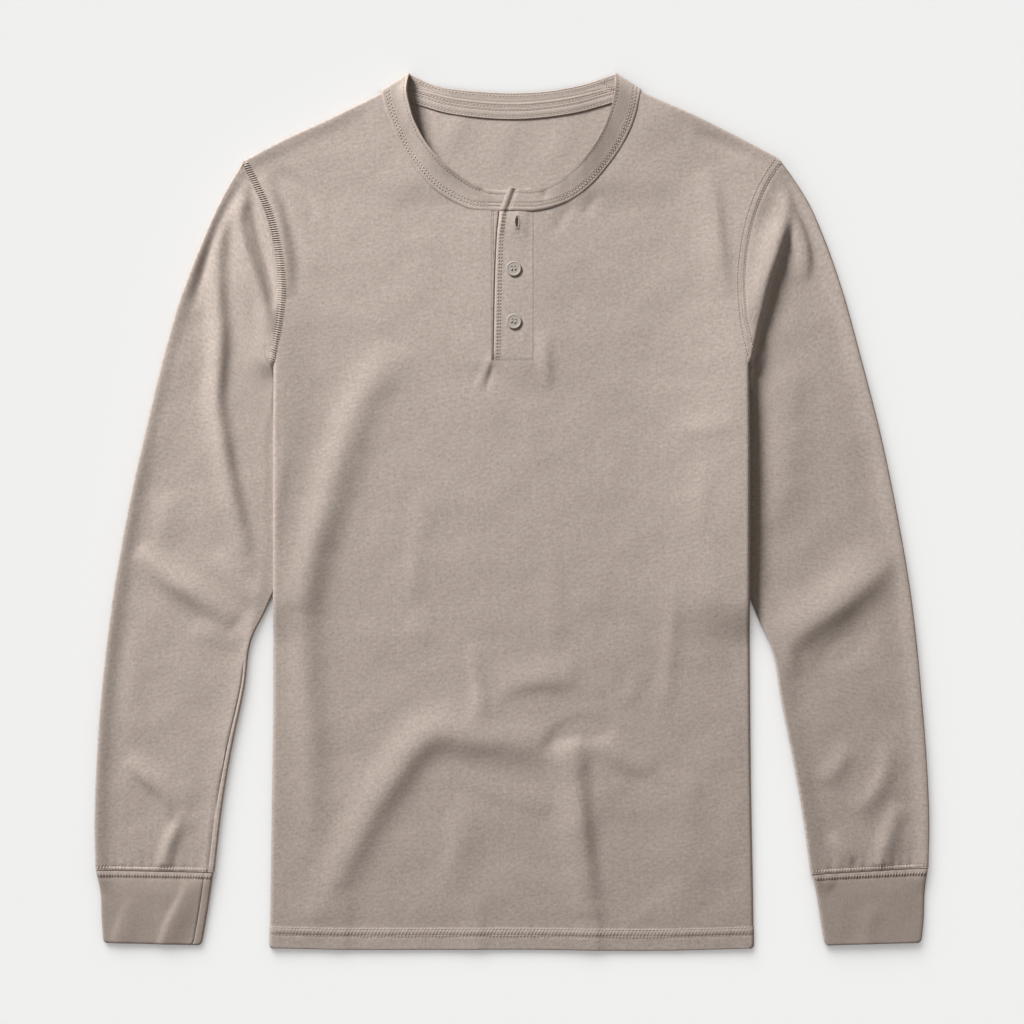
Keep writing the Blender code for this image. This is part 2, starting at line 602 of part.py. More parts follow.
def build_front(colour):
    sheet = Sheet()
    share = front_rows()
    foot = PLACKET_FOOT_Y - SEAM / 2
    left_x, right_x = PLACKET_SEAM_X - SEAM / 2, PLACKET_RIGHT_X + SEAM / 2
    row_top = ((UNDER[-1][0], UNDER[-1][1]), (left_x, foot), (right_x, foot), (UNDER[1][0], UNDER[1][1]))

    def top_y(x):
        return np.interp(x, [r[0] for r in row_top], [r[1] for r in row_top])

    # columns: side seam, underside, roll, then the flat front up to the slit
    t = np.arange(1, HALF_COLUMNS + 1) / HALF_COLUMNS
    flat_l = (SIDE[6][1] + ROLL) + (left_x - SIDE[6][1] - ROLL) * t
    flat_r = (SIDE[6][2] - ROLL) + (right_x - SIDE[6][2] + ROLL) * t
    roll = (1.0, 0.5, 0.0, -0.5, -1.0)
    columns = ([("L", None)] + [("L", k) for k in roll] + [("x", v) for v in flat_l] + [("x", 0.5)]
               + [("x", v) for v in flat_r[::-1]] + [("R", k) for k in roll[::-1]] + [("R", None)])
    index = []
    for r, part in enumerate(share):
        line = []
        for c, (kind, value) in enumerate(columns):
            last = r == len(share) - 1
            if kind == "x":
                base = track(HEM, value, 1)
                y = base + (top_y(value) - base) * part
                s = value
                # the flat columns close up or spread with the body's edge
                xl, xr = side_edges(y)
                lean = (1 - ease(part * 1.25))
                far = (value - left_x) / (SIDE[6][1] - left_x) if value < 0 else (value - right_x) / (SIDE[6][2] - right_x)
                s = s + max(far, 0) * ((xl - SIDE[6][1]) if value < 0 else (xr - SIDE[6][2])) * min(1, lean + 1)
                line.append(sheet.vertex(("f", r, c), wrap(s, y, 1), (0, 0, 1) if last and abs(value) < 20 else None))
                continue
            hand = -1 if kind == "L" else 1
            x0 = SIDE[0][1] if hand < 0 else SIDE[0][2]
            base = track(HEM, x0, 1)
            y = base + (UNDER[hand][1] - base) * part
            depth = float(wrap_depth(y, hand))
            quarter = ROLL * math.pi / 2
            open_by = (TIP_OPEN - SEAM) / 2 * math.exp(-((UNDER[hand][1] - y) / 7) ** 2)
            if value is None:
                past = depth - SEAM / 2 - open_by
            elif value > 0:
                past = min(value * quarter, (depth - SEAM / 2) * value * 0.75)
            else:
                past = value * quarter
            if last and (value is None or value >= 0):
                arm = ARM[hand]
                line.append(sheet.vertex(("arm", hand, len(ARMHOLE_STEPS) - 1),
                                         arm.top[-1] - arm.across * SEAM / 2, arm.top_n[-1]))
                continue
            s = roll_offset(past, hand, y, 1)
            fix = wrap_normal(s, y, 1) if value is None else None
            line.append(sheet.vertex(("f", r, c), wrap(s, y, 1), fix))
        index.append(line)
    sheet.grid(index)

    # the two upper parts, from the underarm row to the shoulder
    last = len(share) - 1
    steps = len(ARMHOLE_STEPS)
    for hand, band, first in ((-1, BAND_LEFT, LEFT_FIRST), (1, BAND_RIGHT, RIGHT_FIRST)):
        arm = ARM[hand]
        cols = [c for c, (k, v) in enumerate(columns)
                if (k == ("L" if hand < 0 else "R") and v is not None and v <= 0)
                or (k == "x" and (v <= left_x + 1e-6 if hand < 0 else v >= right_x - 1e-6))]
        if hand > 0:
            cols = cols[::-1]
        seam_x = left_x if hand < 0 else right_x
        bottom = np.array([sheet.points[index[last][c]][:2] for c in cols])
        bottom[0] = UNDER[hand]
        # inner border: up the slit, then round the neck to the shoulder
        neck = offset_line(band[first:, :2], SEAM * hand * -1)
        neck[0] = (seam_x, neck[0, 1])
        for k in (-1, -2, -3):
            # the panel turns a little before the band does
            x = neck[k, 0]
            neck[k, 1] = track(SHOULDER, abs(x), 1 if hand < 0 else 2) - (0.0, 0.33 * ROLL, 1.12 * ROLL)[-1 - k]
        t = (np.arange(SLIT_ROWS) / SLIT_ROWS)[:, None]
        inner = np.vstack([bottom[-1] + (neck[0] - bottom[-1]) * t, neck])
        outer = arm.front[::-1]
        u = np.linalg.norm(bottom - bottom[0], axis=1) / np.linalg.norm(bottom[-1] - bottom[0])
        v = 1 - np.array(ARMHOLE_STEPS)[::-1]
        run = np.concatenate([[0], np.cumsum(np.linalg.norm(np.diff(inner, axis=0), axis=1))])
        v = (v + run / run[-1]) / 2
        top_line = outer[-1] + (inner[-1] - outer[-1]) * u[:, None]
        top_line[1:-1, 1] = track(SHOULDER, np.abs(top_line[1:-1, 0]), 1 if hand < 0 else 2)
        plan = blend_patch(outer, inner, bottom, top_line, u, v)
        block = []
        for r in range(len(outer)):
            line = []
            for c in range(len(cols)):
                x, y = plan[r, c]
                k = steps - 1 - r
                if r == 0:
                    line.append(index[last][cols[c]])
                elif c == 0:
                    line.append(sheet.vertex(("arm", hand, k), arm.top[k] - arm.across * SEAM / 2, arm.top_n[k]))
                elif k == 0:
                    y = float(track(SHOULDER, abs(x), 1 if hand < 0 else 2))
                    line.append(sheet.vertex(("u", hand, r, c), wrap(x, y, 1), (hand * 0.46, 0.89, 0)))
                else:
                    fix = None
                    if c == len(cols) - 1:
                        turn = {1: 0.75, 2: 0.15}.get(k, 0.0)
                        fix = (hand * 0.46 * turn, 0.89 * turn, 1 - 0.6 * turn)
                    line.append(sheet.vertex(("u", hand, r, c), wrap(x, y, 1), fix))
            block.append(line if hand < 0 else line[::-1])
        sheet.grid(block)
    return cloth("front_panel", sheet, hem_wall, colour)


# ---------------------------------------------------------------- back panel
def build_back(colour):
    sheet = Sheet()
    share = front_rows()
    count = len(BAND_BACK) + 2 * len(SHOULDER_COLUMNS) - 6
    flat = 150.0 * (2 * np.arange(count) / (count - 1) - 1)
    columns = [("L", 0.0), ("L", 0.5), ("L", 1.0)] + [("x", v) for v in flat] + [("R", 1.0), ("R", 0.5), ("R", 0.0)]
    index = []
    for r, part in enumerate(share):
        line = []
        for c, (kind, value) in enumerate(columns):
            last = r == len(share) - 1
            if kind == "x":
                base = track(HEM, value, 1)
                top = np.interp(value, [UNDER[-1][0], UNDER[1][0]], [UNDER[-1][1], UNDER[1][1]])
                y = base + (top - base) * part
                line.append(sheet.vertex(("b", r, c), wrap(value, y, -1)))
                continue
            hand = -1 if kind == "L" else 1
            x0 = SIDE[0][1] if hand < 0 else SIDE[0][2]
            base = track(HEM, x0, 1)
            y = base + (UNDER[hand][1] - base) * part
            if last and value == 0.0:
                arm = ARM[hand]
                line.append(sheet.vertex(("arm", hand, len(ARMHOLE_STEPS) - 1),
                                         arm.low[-1] - arm.across * SEAM / 2, arm.low_n[-1]))
                continue
            open_by = (TIP_OPEN - SEAM) / 2 * math.exp(-((UNDER[hand][1] - y) / 7) ** 2)
            past = float(wrap_depth(y, hand)) + SEAM / 2 + open_by + value * 2 * ROLL * math.pi / 2
            s = roll_offset(past, hand, y, -1)
            fix = wrap_normal(s, y, -1) if value == 0.0 else None
            line.append(sheet.vertex(("b", r, c), wrap(s, y, -1), fix))
        index.append(line)
    # upper part: armhole to armhole, up to the shoulders and the back neck
    last = len(share) - 1
    steps = len(ARMHOLE_STEPS)
    arm_l, arm_r = ARM[-1], ARM[1]
    left, right = arm_l.back[::-1].copy(), arm_r.back[::-1].copy()
    left[0], right[0] = UNDER[-1], UNDER[1]
    bottom = np.array([sheet.points[i][:2] for i in index[last]])
    bottom[0], bottom[-1] = UNDER[-1], UNDER[1]
    v = 1 - np.array(ARMHOLE_STEPS)[::-1]
    # the top: shoulder, the neckline under the band's own stations, shoulder
    neck = offset_line(BAND_BACK[:, :2], -SEAM)
    neck[:, 1] -= 2.1 * np.exp(-((NECK_CORNER - np.abs(neck[:, 0])) / 6) ** 2)
    for end, column in ((0, 1), (-1, 2)):
        neck[end] = (math.copysign(NECK_CORNER - 0.1, neck[end, 0]), track(SHOULDER, NECK_CORNER, column))
    wings = []
    for hand, corner in ((-1, neck[0]), (1, neck[-1])):
        x0, x1 = ARM[hand].top[0, 0], corner[0]
        for t in SHOULDER_COLUMNS:
            x = x0 + (x1 - x0) * t
            wings.append((x, float(track(SHOULDER, abs(x), 1 if hand < 0 else 2))))
    n = len(SHOULDER_COLUMNS)
    top = np.array(wings[:n] + [tuple(p) for p in neck] + wings[:n - 1:-1])
    corner_l, corner_r = n, len(top) - 1 - n
    u_top = (top[:, 0] - top[0, 0]) / (top[-1, 0] - top[0, 0])
    u_low = (bottom[:, 0] - bottom[0, 0]) / (bottom[-1, 0] - bottom[0, 0])
    plan = np.zeros((steps, len(top), 2))
    for r in range(steps):
        u = u_low + (u_top - u_low) * ease(v[r] * 1.1)
        sides = (1 - u)[:, None] * left[r] + u[:, None] * right[r]
        sag_low = bottom - ((1 - u_low)[:, None] * bottom[0] + u_low[:, None] * bottom[-1])
        sag_top = top - ((1 - u_top)[:, None] * top[0] + u_top[:, None] * top[-1])
        plan[r] = sides + sag_low * (1 - v[r]) * [0, 1] + sag_top * v[r] ** 3 * [0, 1]
    plan[-1] = top
    for r in range(1, steps):
        line = []
        k = steps - 1 - r
        for c in range(len(top)):
            x, y = plan[r, c]
            if c in (0, len(top) - 1):
                hand = -1 if c == 0 else 1
                arm = ARM[hand]
                line.append(sheet.vertex(("arm", hand, k), arm.low[k] - arm.across * SEAM / 2, arm.low_n[k]))
                continue
            fix = None
            if k == 0:
                side = math.copysign(0.46, x)
                if c < corner_l or c > corner_r:
                    fix = (side, 0.89, 0)
                else:
                    turn = {0: 1.0, 1: 0.6, 2: 0.1}.get(min(c - corner_l, corner_r - c), 0.0)
                    fix = (side * turn, 0.89 * turn, turn - 1 if turn < 1 else 0)
            line.append(sheet.vertex(("u", r, c), wrap(x, y, -1), fix))
        index.append(line)
    sheet.grid([line[::-1] for line in index])
    return cloth("back_panel", sheet, hem_wall, colour)


# ---------------------------------------------------------------- sleeves
def slant_roll(tangent, section):
    """How wide the rolled edge is along a section that meets the edge at a slant."""
    cross = abs(tangent[0] * section[1] - tangent[1] * section[0])
    sine = cross / np.linalg.norm(tangent) / np.linalg.norm(section)
    return min(ROLL / max(sine, 0.01), ARM_ROLL)


def sleeve_cap(x, y):
    """Highest place for the sleeve's upper wall where the body lies over it."""
    xl, xr = side_edges(y)
    outside = np.maximum(xl - x, x - xr)
    return SLEEVE_UNDER + np.maximum(outside - 1.0, 0) * 0.8 + 30 * ease((y - 100) / 20)


def sleeve_walls(x, y, d_out, d_in, hand, folds):
    """Middles of the upper and lower wall of a sleeve at a place in plan."""
    arm = ARM[hand]
    steps = np.linspace(0, 1, 60)
    seam = np.stack([np.interp(steps, ARMHOLE_STEPS, arm.front[:, k]) for k in range(2)], axis=-1)
    away = np.hypot(x[:, None] - seam[None, :, 0], y[:, None] - seam[None, :, 1])
    near = seam[np.argmin(away, axis=1)]
    away = away.min(axis=1)
    high = SLEEVE_FLAT + (SLEEVE_EDGE - SLEEVE_FLAT) * (np.exp(-(d_out / 11) ** 2) + np.exp(-(d_in / 11) ** 2))
    high = np.minimum(high, sleeve_cap(x, y))
    inside = np.clip((np.minimum(d_out, d_in) - 2) / 12, 0, 1)
    high = high + fold_height(x, y, folds) * inside
    high = high + (upper_wall(near[:, 0], near[:, 1]) - high) * np.exp(-(away / 15) ** 2)
    low = FLOOR + (lower_wall(near[:, 0], near[:, 1]) - FLOOR) * np.exp(-(away / 12) ** 2)
    high = np.minimum(high, sleeve_cap(x, y))
    return np.maximum(high, low + 2.1), low


def sleeve_sections(rows, hand, folds):
    """Rings of middle-surface points, armhole first, cuff seam last."""
    arm = ARM[hand]
    steps = np.array(ARMHOLE_STEPS)
    even = np.linspace(0, 1, len(steps))
    table = np.array(rows, float)
    slopes = np.gradient(table[:, 0:4], axis=0)
    chord = table[0, 0:2] + (table[0, 2:4] - table[0, 0:2]) * steps[:, None]
    bows = ((arm.front - chord, 1), (arm.back - chord, -1))
    rings = []
    for r, row in enumerate(table):
        o, i, bow = row[0:2], row[2:4], row[4]
        width = np.linalg.norm(i - o)
        settle = float(ease(r / 4))
        bow_end = (bows[0][0][-1] - bows[0][0][-3]) * bow
        roll_out = slant_roll(slopes[r, 0:2], i - o) if r else ROLL
        roll_in = slant_roll(slopes[r, 2:4], (i - o) * (1 - steps[-3]) + bow_end) if r else ARM_ROLL
        ring = []
        for dev, sign in bows:
            w = steps + (even - steps) * settle
            w[:3] = np.array([0.0, 0.29, 1.0]) * roll_out / width
            w[-3:] = 1 - np.array([1.0, 0.29, 0.0]) * roll_in / width
            bend = np.stack([np.interp(w, steps, dev[:, k]) for k in range(2)], axis=-1)
            plan = o + (i - o) * w[:, None] + bend * bow
            d_out, d_in = w * width, (1 - w) * width
            high, low = sleeve_walls(plan[:, 0], plan[:, 1], d_out, d_in, hand, folds)
            turn = np.minimum(np.clip(d_out / roll_out, 0, 1), np.clip(d_in / roll_in, 0, 1))
            z = (high + low) / 2 + sign * (high - low) / 2 * np.sqrt(1 - (1 - turn) ** 2)
            ring.append(np.column_stack([plan, z]))
        rings.append(np.vstack([ring[0], ring[1][-2:0:-1]]))
    top, low = arm.top.copy(), arm.low.copy()
    top[0, 2] -= SEAM / 2
    top[-1, 2] -= TIP_OPEN / 2 + 0.3
    rings[0] = np.vstack([top, low[-2:0:-1]]) + arm.across * SEAM / 2
    normals = np.vstack([arm.top_n, arm.low_n[-2:0:-1]])
    tip = len(steps) - 1
    normals[tip] = arm.tip_n
    for k, apart in ((tip, 1.4), (tip - 1, 0.35), (tip + 1, 0.35)):
        rings[0][k] += arm.across * apart
    return rings, normals


def ring_sheet(rings, hand, first=None):
    sheet = Sheet()
    index = []
    for r, ring in enumerate(rings):
        line = [sheet.vertex((r, c), p, first[c] if r == 0 and first is not None else None)
                for c, p in enumerate(ring)]
        line.append(line[0])
        index.append(line if hand > 0 else line[::-1])
    sheet.grid(index)
    return sheet


def flip_if_inward(sheet):
    """Faces wind so that the ring's normals point out of the tube."""
    pts = np.array(sheet.points)
    n = vertex_normals(pts, sheet.faces, {})
    mean = pts.mean(axis=0)
    if np.sum(n[:, 2] * (pts[:, 2] - mean[2])) < 0:
        sheet.faces = [f[::-1] for f in sheet.faces]
    return sheet


def build_sleeve(name, rows, hand, folds, colour):
    rings, first = sleeve_sections(rows, hand, folds)
    sheet = flip_if_inward(ring_sheet(rings, hand, first))
    return cloth(name, sheet, WALL, colour)


def build_cuff(name, rows, hand, colour):
    steps = 9
    rings = []
    for ox, oy, ix, iy, high, low in rows:
        o, i = np.array([ox, oy]), np.array([ix, iy])
        width = np.linalg.norm(i - o)
        t = np.linspace(0, 1, steps)
        inset = np.array([0.0, 0.29 * ROLL, ROLL]) / width
        t[:3], t[-3:] = inset, 1 - inset[::-1]
        near = np.minimum(t, 1 - t) * width / ROLL
        shape = np.sqrt(np.maximum(1 - (1 - np.clip(near, 0, 1)) ** 2, 0))
        ring = []
        for sign in (1, -1):
            z = (high + low) / 2 + sign * (high - low) / 2 * shape
            ring.append(np.column_stack([o + (i - o) * t[:, None], z]))
        rings.append(np.vstack([ring[0], ring[1][-2:0:-1]]))
    sheet = flip_if_inward(ring_sheet(rings, hand))
    return cloth(name, sheet, WALL_FOLDED, colour)


# ---------------------------------------------------------------- neck
BAND_LOW = WALL_FOLDED / 2
BAND_UNDER = 2.9        # middle of the band's end under the placket
BAND_OVER = 6.0         # middle of the band's end over it


def build_band(colour):
    """One strip: under the placket, up the left, behind, down the right, over it."""
    rows = []
    for line, side in ((BAND_LEFT, -1), (BAND_BACK, 0), (BAND_RIGHT[::-1], 1)):
        fold = line[-1] if side < 0 else line[0]
        ends = (BAND_LEFT[-1], BAND_RIGHT[-1])
        for row in line:
            d = min(np.linalg.norm(row - e) for e in (ends if side == 0 else (fold,))) / math.sqrt(2)
            high = float(upper_wall(row[:1], row[1:2])[0]) + 0.4
            if side < 0:
                high += (BAND_UNDER - high) * float(ease((row[0] + 40) / 30))
            if side > 0:
                high += (BAND_OVER - high) * float(1 - ease((row[0] - 12) / 40))
            bulge = math.sqrt(1 - (1 - min(d / ROLL, 1)) ** 2)
            rows.append((row, (high + BAND_LOW) / 2 + (-1 if side == 0 else 1) * (high - BAND_LOW) / 2 * bulge))
    sheet = Sheet()
    index = []
    for r, (row, z) in enumerate(rows):
        joined, free = row[:2], row[2:]
        index.append([sheet.vertex((r, c), (*(joined + (free - joined) * t), z)) for c, t in enumerate((0, 0.5, 1))])
    sheet.grid(index)
    return cloth("neckband", sheet, WALL_FOLDED, colour)


def build_tape(colour):
    """Covers the seam behind the neck, laid on the back panel."""
    line = BAND_BACK[np.abs(BAND_BACK[:, 0]) < TAPE_HALF][:, :2]
    upper = offset_line(line, -SEAM)
    lower = offset_line(line, -SEAM - TAPE_DEPTH)
    level = WALL + SEAM + WALL_TAPE / 2
    sheet = Sheet()
    sheet.grid([[sheet.vertex((r, 0), (*upper[r], level)), sheet.vertex((r, 1), (*lower[r], level))]
                for r in range(len(line))])
    return cloth("neck_tape", sheet, WALL_TAPE, colour)


# ---------------------------------------------------------------- plackets
def upper_placket_height(x, y):
    """Level over the under placket, up over the button beneath the open buttonhole."""
    _, bx, by = BUTTONS[0]
    flat = BUTTON_R + 2.4
    lift = PLACKET_LIFT * ease(1 - (abs(x - bx) - flat) / 6) * ease(1 - (abs(y - by) - flat) / 14)
    return PLACKET_HIGH + float(lift)


def build_placket_top(colour):
    sheet = Sheet()
    index = []
    rows = (PLACKET_FOOT_Y + SEAM / 2, 150, 175, 200, 215, 223, 229, 238, 247.4)
    for r, y in enumerate(rows):
        left, right = float(track(PLACKET_FOLD, y, 1)), PLACKET_RIGHT_X - SEAM / 2
        columns = (left, -8.0, -4.6, 4.0, 13.0, right)
        index.append([sheet.vertex((r, c), (x, y, upper_placket_height(x, y))) for c, x in enumerate(columns)])
    sheet.grid(index)
    obj = cloth("placket_top", sheet, WALL_PLACKET, colour)
    for name, bx, by in BUTTONS:
        cut_slit(obj, name + "_slit", bx, by)
    return obj


def cut_slit(obj, name, x, y):
    """Buttonhole: a slit with round ends, along the placket."""
    w, l = BUTTONHOLE
    bm = bmesh.new()
    ring = []
    for side in (1, -1):
        for a in np.linspace(0, math.pi, 5):
            ring.append((x + side * math.cos(a) * w / 2, y + side * (l - w) / 2 + side * math.sin(a) * w / 2))
    low = [bm.verts.new((px * MM, py * MM, 1.0 * MM)) for px, py in ring]
    high = [bm.verts.new((px * MM, py * MM, 16.0 * MM)) for px, py in ring]
    count = len(ring)
    bm.faces.new(low[::-1])
    bm.faces.new(high)
    for i in range(count):
        j = (i + 1) % count
        bm.faces.new((low[i], low[j], high[j], high[i]))
    bmesh.ops.recalc_face_normals(bm, faces=bm.faces)
    mesh = bpy.data.meshes.new(name)
    bm.to_mesh(mesh)
    bm.free()
    cutter = bpy.data.objects.new(name, mesh)
    bpy.context.scene.collection.objects.link(cutter)
    cutter.hide_render = True
    cutter.display_type = "WIRE"
    mod = obj.modifiers.new(name, "BOOLEAN")
    mod.operation = "DIFFERENCE"
    mod.solver = "EXACT"
    mod.object = cutter


def build_placket_under(colour):
    sheet = Sheet()
    index = []
    for r, y in enumerate(np.linspace(PLACKET_FOOT_Y + SEAM / 2, 247.4, 6)):
        left, right = PLACKET_SEAM_X + SEAM / 2, 15.0
        line = []
        for c, t in enumerate((0.0, 0.5, 1.0)):
            x = left + (right - left) * t
            line.append(sheet.vertex((r, c), (x, y, PLACKET_LOW)))
        index.append(line)
    sheet.grid(index)
    return cloth("placket_under", sheet, WALL_PLACKET, colour)


# ---------------------------------------------------------------- buttons
def build_button(name, x, y, foot, colour):
    """Turned disc with a raised rim, a dished face and four thread holes."""
    r, t = BUTTON_R, BUTTON_T
    profile = ((r - 0.7, 0.0), (r, 0.8), (r - 0.1, t - 0.4), (r - 0.6, t), (r - 1.2, t - 0.1), (r - 1.9, t - 0.7))
    segments = 24
    bm = bmesh.new()
    rings = []
    for pr, pz in profile:
        rings.append([bm.verts.new((pr * math.cos(a) * MM, pr * math.sin(a) * MM, pz * MM))
                      for a in np.arange(segments) * 2 * math.pi / segments])
    for lower, upper in zip(rings[:-1], rings[1:]):
        for i in range(segments):
            j = (i + 1) % segments
            bm.faces.new((lower[i], lower[j], upper[j], upper[i]))
    bm.faces.new(rings[0][::-1])
    bm.faces.new(rings[-1])
    mesh = bpy.data.meshes.new(name)
    bm.to_mesh(mesh)
    bm.free()
    obj = bpy.data.objects.new(name, mesh)
    bpy.context.scene.collection.objects.link(obj)
    obj.location = (x * MM, y * MM, foot * MM)
    mesh.shade_smooth()
    mesh.set_sharp_from_angle(angle=math.radians(35))
    paint(obj, name, colour, 0.45)
    for k, (sx, sy) in enumerate(((-1, -1), (1, -1), (1, 1), (-1, 1))):
        bm = bmesh.new()
        bmesh.ops.create_cone(bm, cap_ends=True, segments=8, radius1=HOLE_R * MM, radius2=HOLE_R * MM, depth=12 * MM)
        hole = bpy.data.meshes.new(name + "_hole")
        bm.to_mesh(hole)
        bm.free()
        cutter = bpy.data.objects.new("%s_hole_%d" % (name, k), hole)
        bpy.context.scene.collection.objects.link(cutter)
        cutter.location = ((x + sx * HOLE_PITCH / 2) * MM, (y + sy * HOLE_PITCH / 2) * MM, foot * MM)
        cutter.hide_render = True
        cutter.display_type = "WIRE"
        mod = obj.modifiers.new("hole_%d" % k, "BOOLEAN")
        mod.operation = "DIFFERENCE"
        mod.solver = "EXACT"
        mod.object = cutter
    return obj


# ---------------------------------------------------------------- the shirt
for old in list(bpy.data.objects):
    bpy.data.objects.remove(old, do_unlink=True)

JERSEY = (0.44, 0.37, 0.33)
RIB = (0.43, 0.36, 0.32)
BUTTON = (0.40, 0.35, 0.31)

build_front(JERSEY)
build_back(JERSEY)
build_sleeve("sleeve_left", SLEEVE_LEFT, -1, SLEEVE_FOLDS_LEFT, JERSEY)
build_sleeve("sleeve_right", SLEEVE_RIGHT, 1, SLEEVE_FOLDS_RIGHT, JERSEY)
build_cuff("cuff_left", CUFF_LEFT, -1, RIB)
build_cuff("cuff_right", CUFF_RIGHT, 1, RIB)
build_band(RIB)
build_tape(JERSEY)
build_placket_top(JERSEY)
build_placket_under(JERSEY)

UNDER_TOP = PLACKET_LOW + WALL_PLACKET / 2
UPPER_TOP = PLACKET_HIGH + WALL_PLACKET / 2
for button_name, button_x, button_y in BUTTONS:
    hidden = button_name == "button_1"
    build_button(button_name, button_x, button_y, (UNDER_TOP if hidden else UPPER_TOP) + SEAM, BUTTON)
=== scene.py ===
"""The looks of a long-sleeved henley shirt that lies flat, front up.

Each cloth piece is a thin shell on the form of its solid, divided finely, with
its folds placed one by one from short tables. Everything below is in
millimetres until a mesh is made. +Z is up, +Y towards the neck.
"""
import math
import bpy
import bmesh
import numpy as np
from mathutils import Matrix, Vector
from mathutils.bvhtree import BVHTree


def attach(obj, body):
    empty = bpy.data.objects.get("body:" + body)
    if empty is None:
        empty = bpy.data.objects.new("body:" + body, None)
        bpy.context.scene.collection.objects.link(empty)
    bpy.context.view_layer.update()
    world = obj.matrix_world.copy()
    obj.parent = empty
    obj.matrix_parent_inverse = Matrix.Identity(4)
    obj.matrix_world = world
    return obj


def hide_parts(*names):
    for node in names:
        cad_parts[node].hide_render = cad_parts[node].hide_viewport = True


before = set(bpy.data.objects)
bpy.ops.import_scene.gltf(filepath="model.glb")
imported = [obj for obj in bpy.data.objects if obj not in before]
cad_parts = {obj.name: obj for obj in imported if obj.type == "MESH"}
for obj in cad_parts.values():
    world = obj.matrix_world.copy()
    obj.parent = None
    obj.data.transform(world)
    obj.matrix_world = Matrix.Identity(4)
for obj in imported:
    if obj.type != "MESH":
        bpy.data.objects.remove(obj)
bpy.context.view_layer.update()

MM = 0.001

# ---------------------------------------------------------------- named sizes
WALL = 1.2              # single jersey
WALL_HEM = 1.9          # turned-up hem
WALL_FOLDED = 2.0       # neckband and cuffs, cut double
WALL_PLACKET = 1.6
WALL_TAPE = 1.0
SEAM = 0.08             # space between two pieces at a seam
FLOOR = WALL / 2
REST = 3.3
ROLL = 2.25             # radius of the rolled edges
HEM_DEPTH = 17.0
HEM_CORNER = 2.6        # round corners at the two ends of the hem
CUFF_CORNER = 3.4
SIDE_WRAP = 27.5        # cloth from the edge round to the side seam
WRAP_FULL_AT = 44.0
TUCK_LIFT = 4.8         # middle of the body's lower wall over the sleeve
TUCK_FLAT = 14.0
TUCK_END = 42.0
TUCK_Y = (-112.0, -72.0)
PLACKET_HIGH = 5.0
PLACKET_LOW = 2.35
PLACKET_LIFT = 1.9
PLACKET_SEAM_X = -16.9
PLACKET_RIGHT_X = 18.1
PLACKET_FOOT_Y = 125.0
NECK_CORNER = 107.0
BUTTON_R = 6.2
BUTTON_T = 1.75
HOLE_R = 0.75
HOLE_PITCH = 2.7
BUTTONHOLE = (1.5, 9.0)
OPEN_HOLE = 2.5         # the empty buttonhole gapes this far
TIP_OPEN = 1.2
BACK_ARMHOLE_OUT = 5.0
ARM_ROLL = 17.0
TAPE_DEPTH = 8.6
TAPE_HALF = 92.0
SLEEVE_EDGE = 6.6       # middle of the upper wall along the edges
SLEEVE_FLAT = 3.7       # and between them
SLEEVE_UNDER = 3.25
CREASE = 1.0            # the tighter roll of the sleeves' and shoulders' edges
GRID = 3.0              # how finely the large panels are divided
NEAR_SEAM = (0.0, 0.7, 1.5, 2.4, 3.6, 5.2, 7.4)
HEM_ROWS = (0.0, 0.25, 0.7, 1.4, 2.6, 4.4, 6.6, 8.6, 9.9, 10.5, 11.1, 11.7, 12.3, 13.6, 15.2, 16.3, 16.9, 17.5, 18.1, 18.9, 20.4, 22.6)
HEM_STITCH = (11.1, 17.2)   # rows of stitches above the hem's edge

SIDE = (
    (-361, -199.0, 198.5),
    (-320, -198.3, 198.0),
    (-225, -197.0, 196.2),
    (-155, -196.0, 195.5),
    (-70, -196.0, 195.0),
    (50, -196.0, 195.0),
    (124, -195.5, 194.6),
    (145, -197.0, 196.5),
    (200, -197.5, 197.0),
    (250, -206.0, 205.0),
    (292, -228.0, 227.0),
)
EDGE_LIFT = (
    (-361, 4.5, 4.5),
    (-250, 5.1, 5.1),
    (-112, 5.2, 5.6),
    (-72, 9.3, 13.6),
    (20, 9.3, 15.3),
    (124, 9.2, 13.0),
    (200, 7.0, 8.8),
    (292, 5.2, 5.2),
)
HEM = ((-200, -358.8), (-120, -360.4), (0, -360.2), (110, -361.2), (200, -359.0))
SHOULDER = (
    (84, 356.0, 356.8),
    (107, 344.6, 345.0),
    (150, 323.5, 326.0),
    (186, 307.0, 308.0),
    (219, 289.5, 290.2),
    (235, 281.0, 281.5),
)
ARMHOLE = (
    (-219.8, 289.2, 219.3, 290.0),
    (-211.0, 272.5, 207.5, 272.0),
    (-199.5, 248.0, 198.0, 250.0),
    (-193.0, 225.0, 191.2, 223.0),
    (-189.6, 202.0, 188.2, 197.0),
    (-188.4, 182.0, 188.6, 172.0),
    (-190.2, 161.0, 191.0, 151.0),
    (-193.2, 142.0, 193.4, 140.0),
    (-196.8, 124.0, 195.9, 129.0),
)
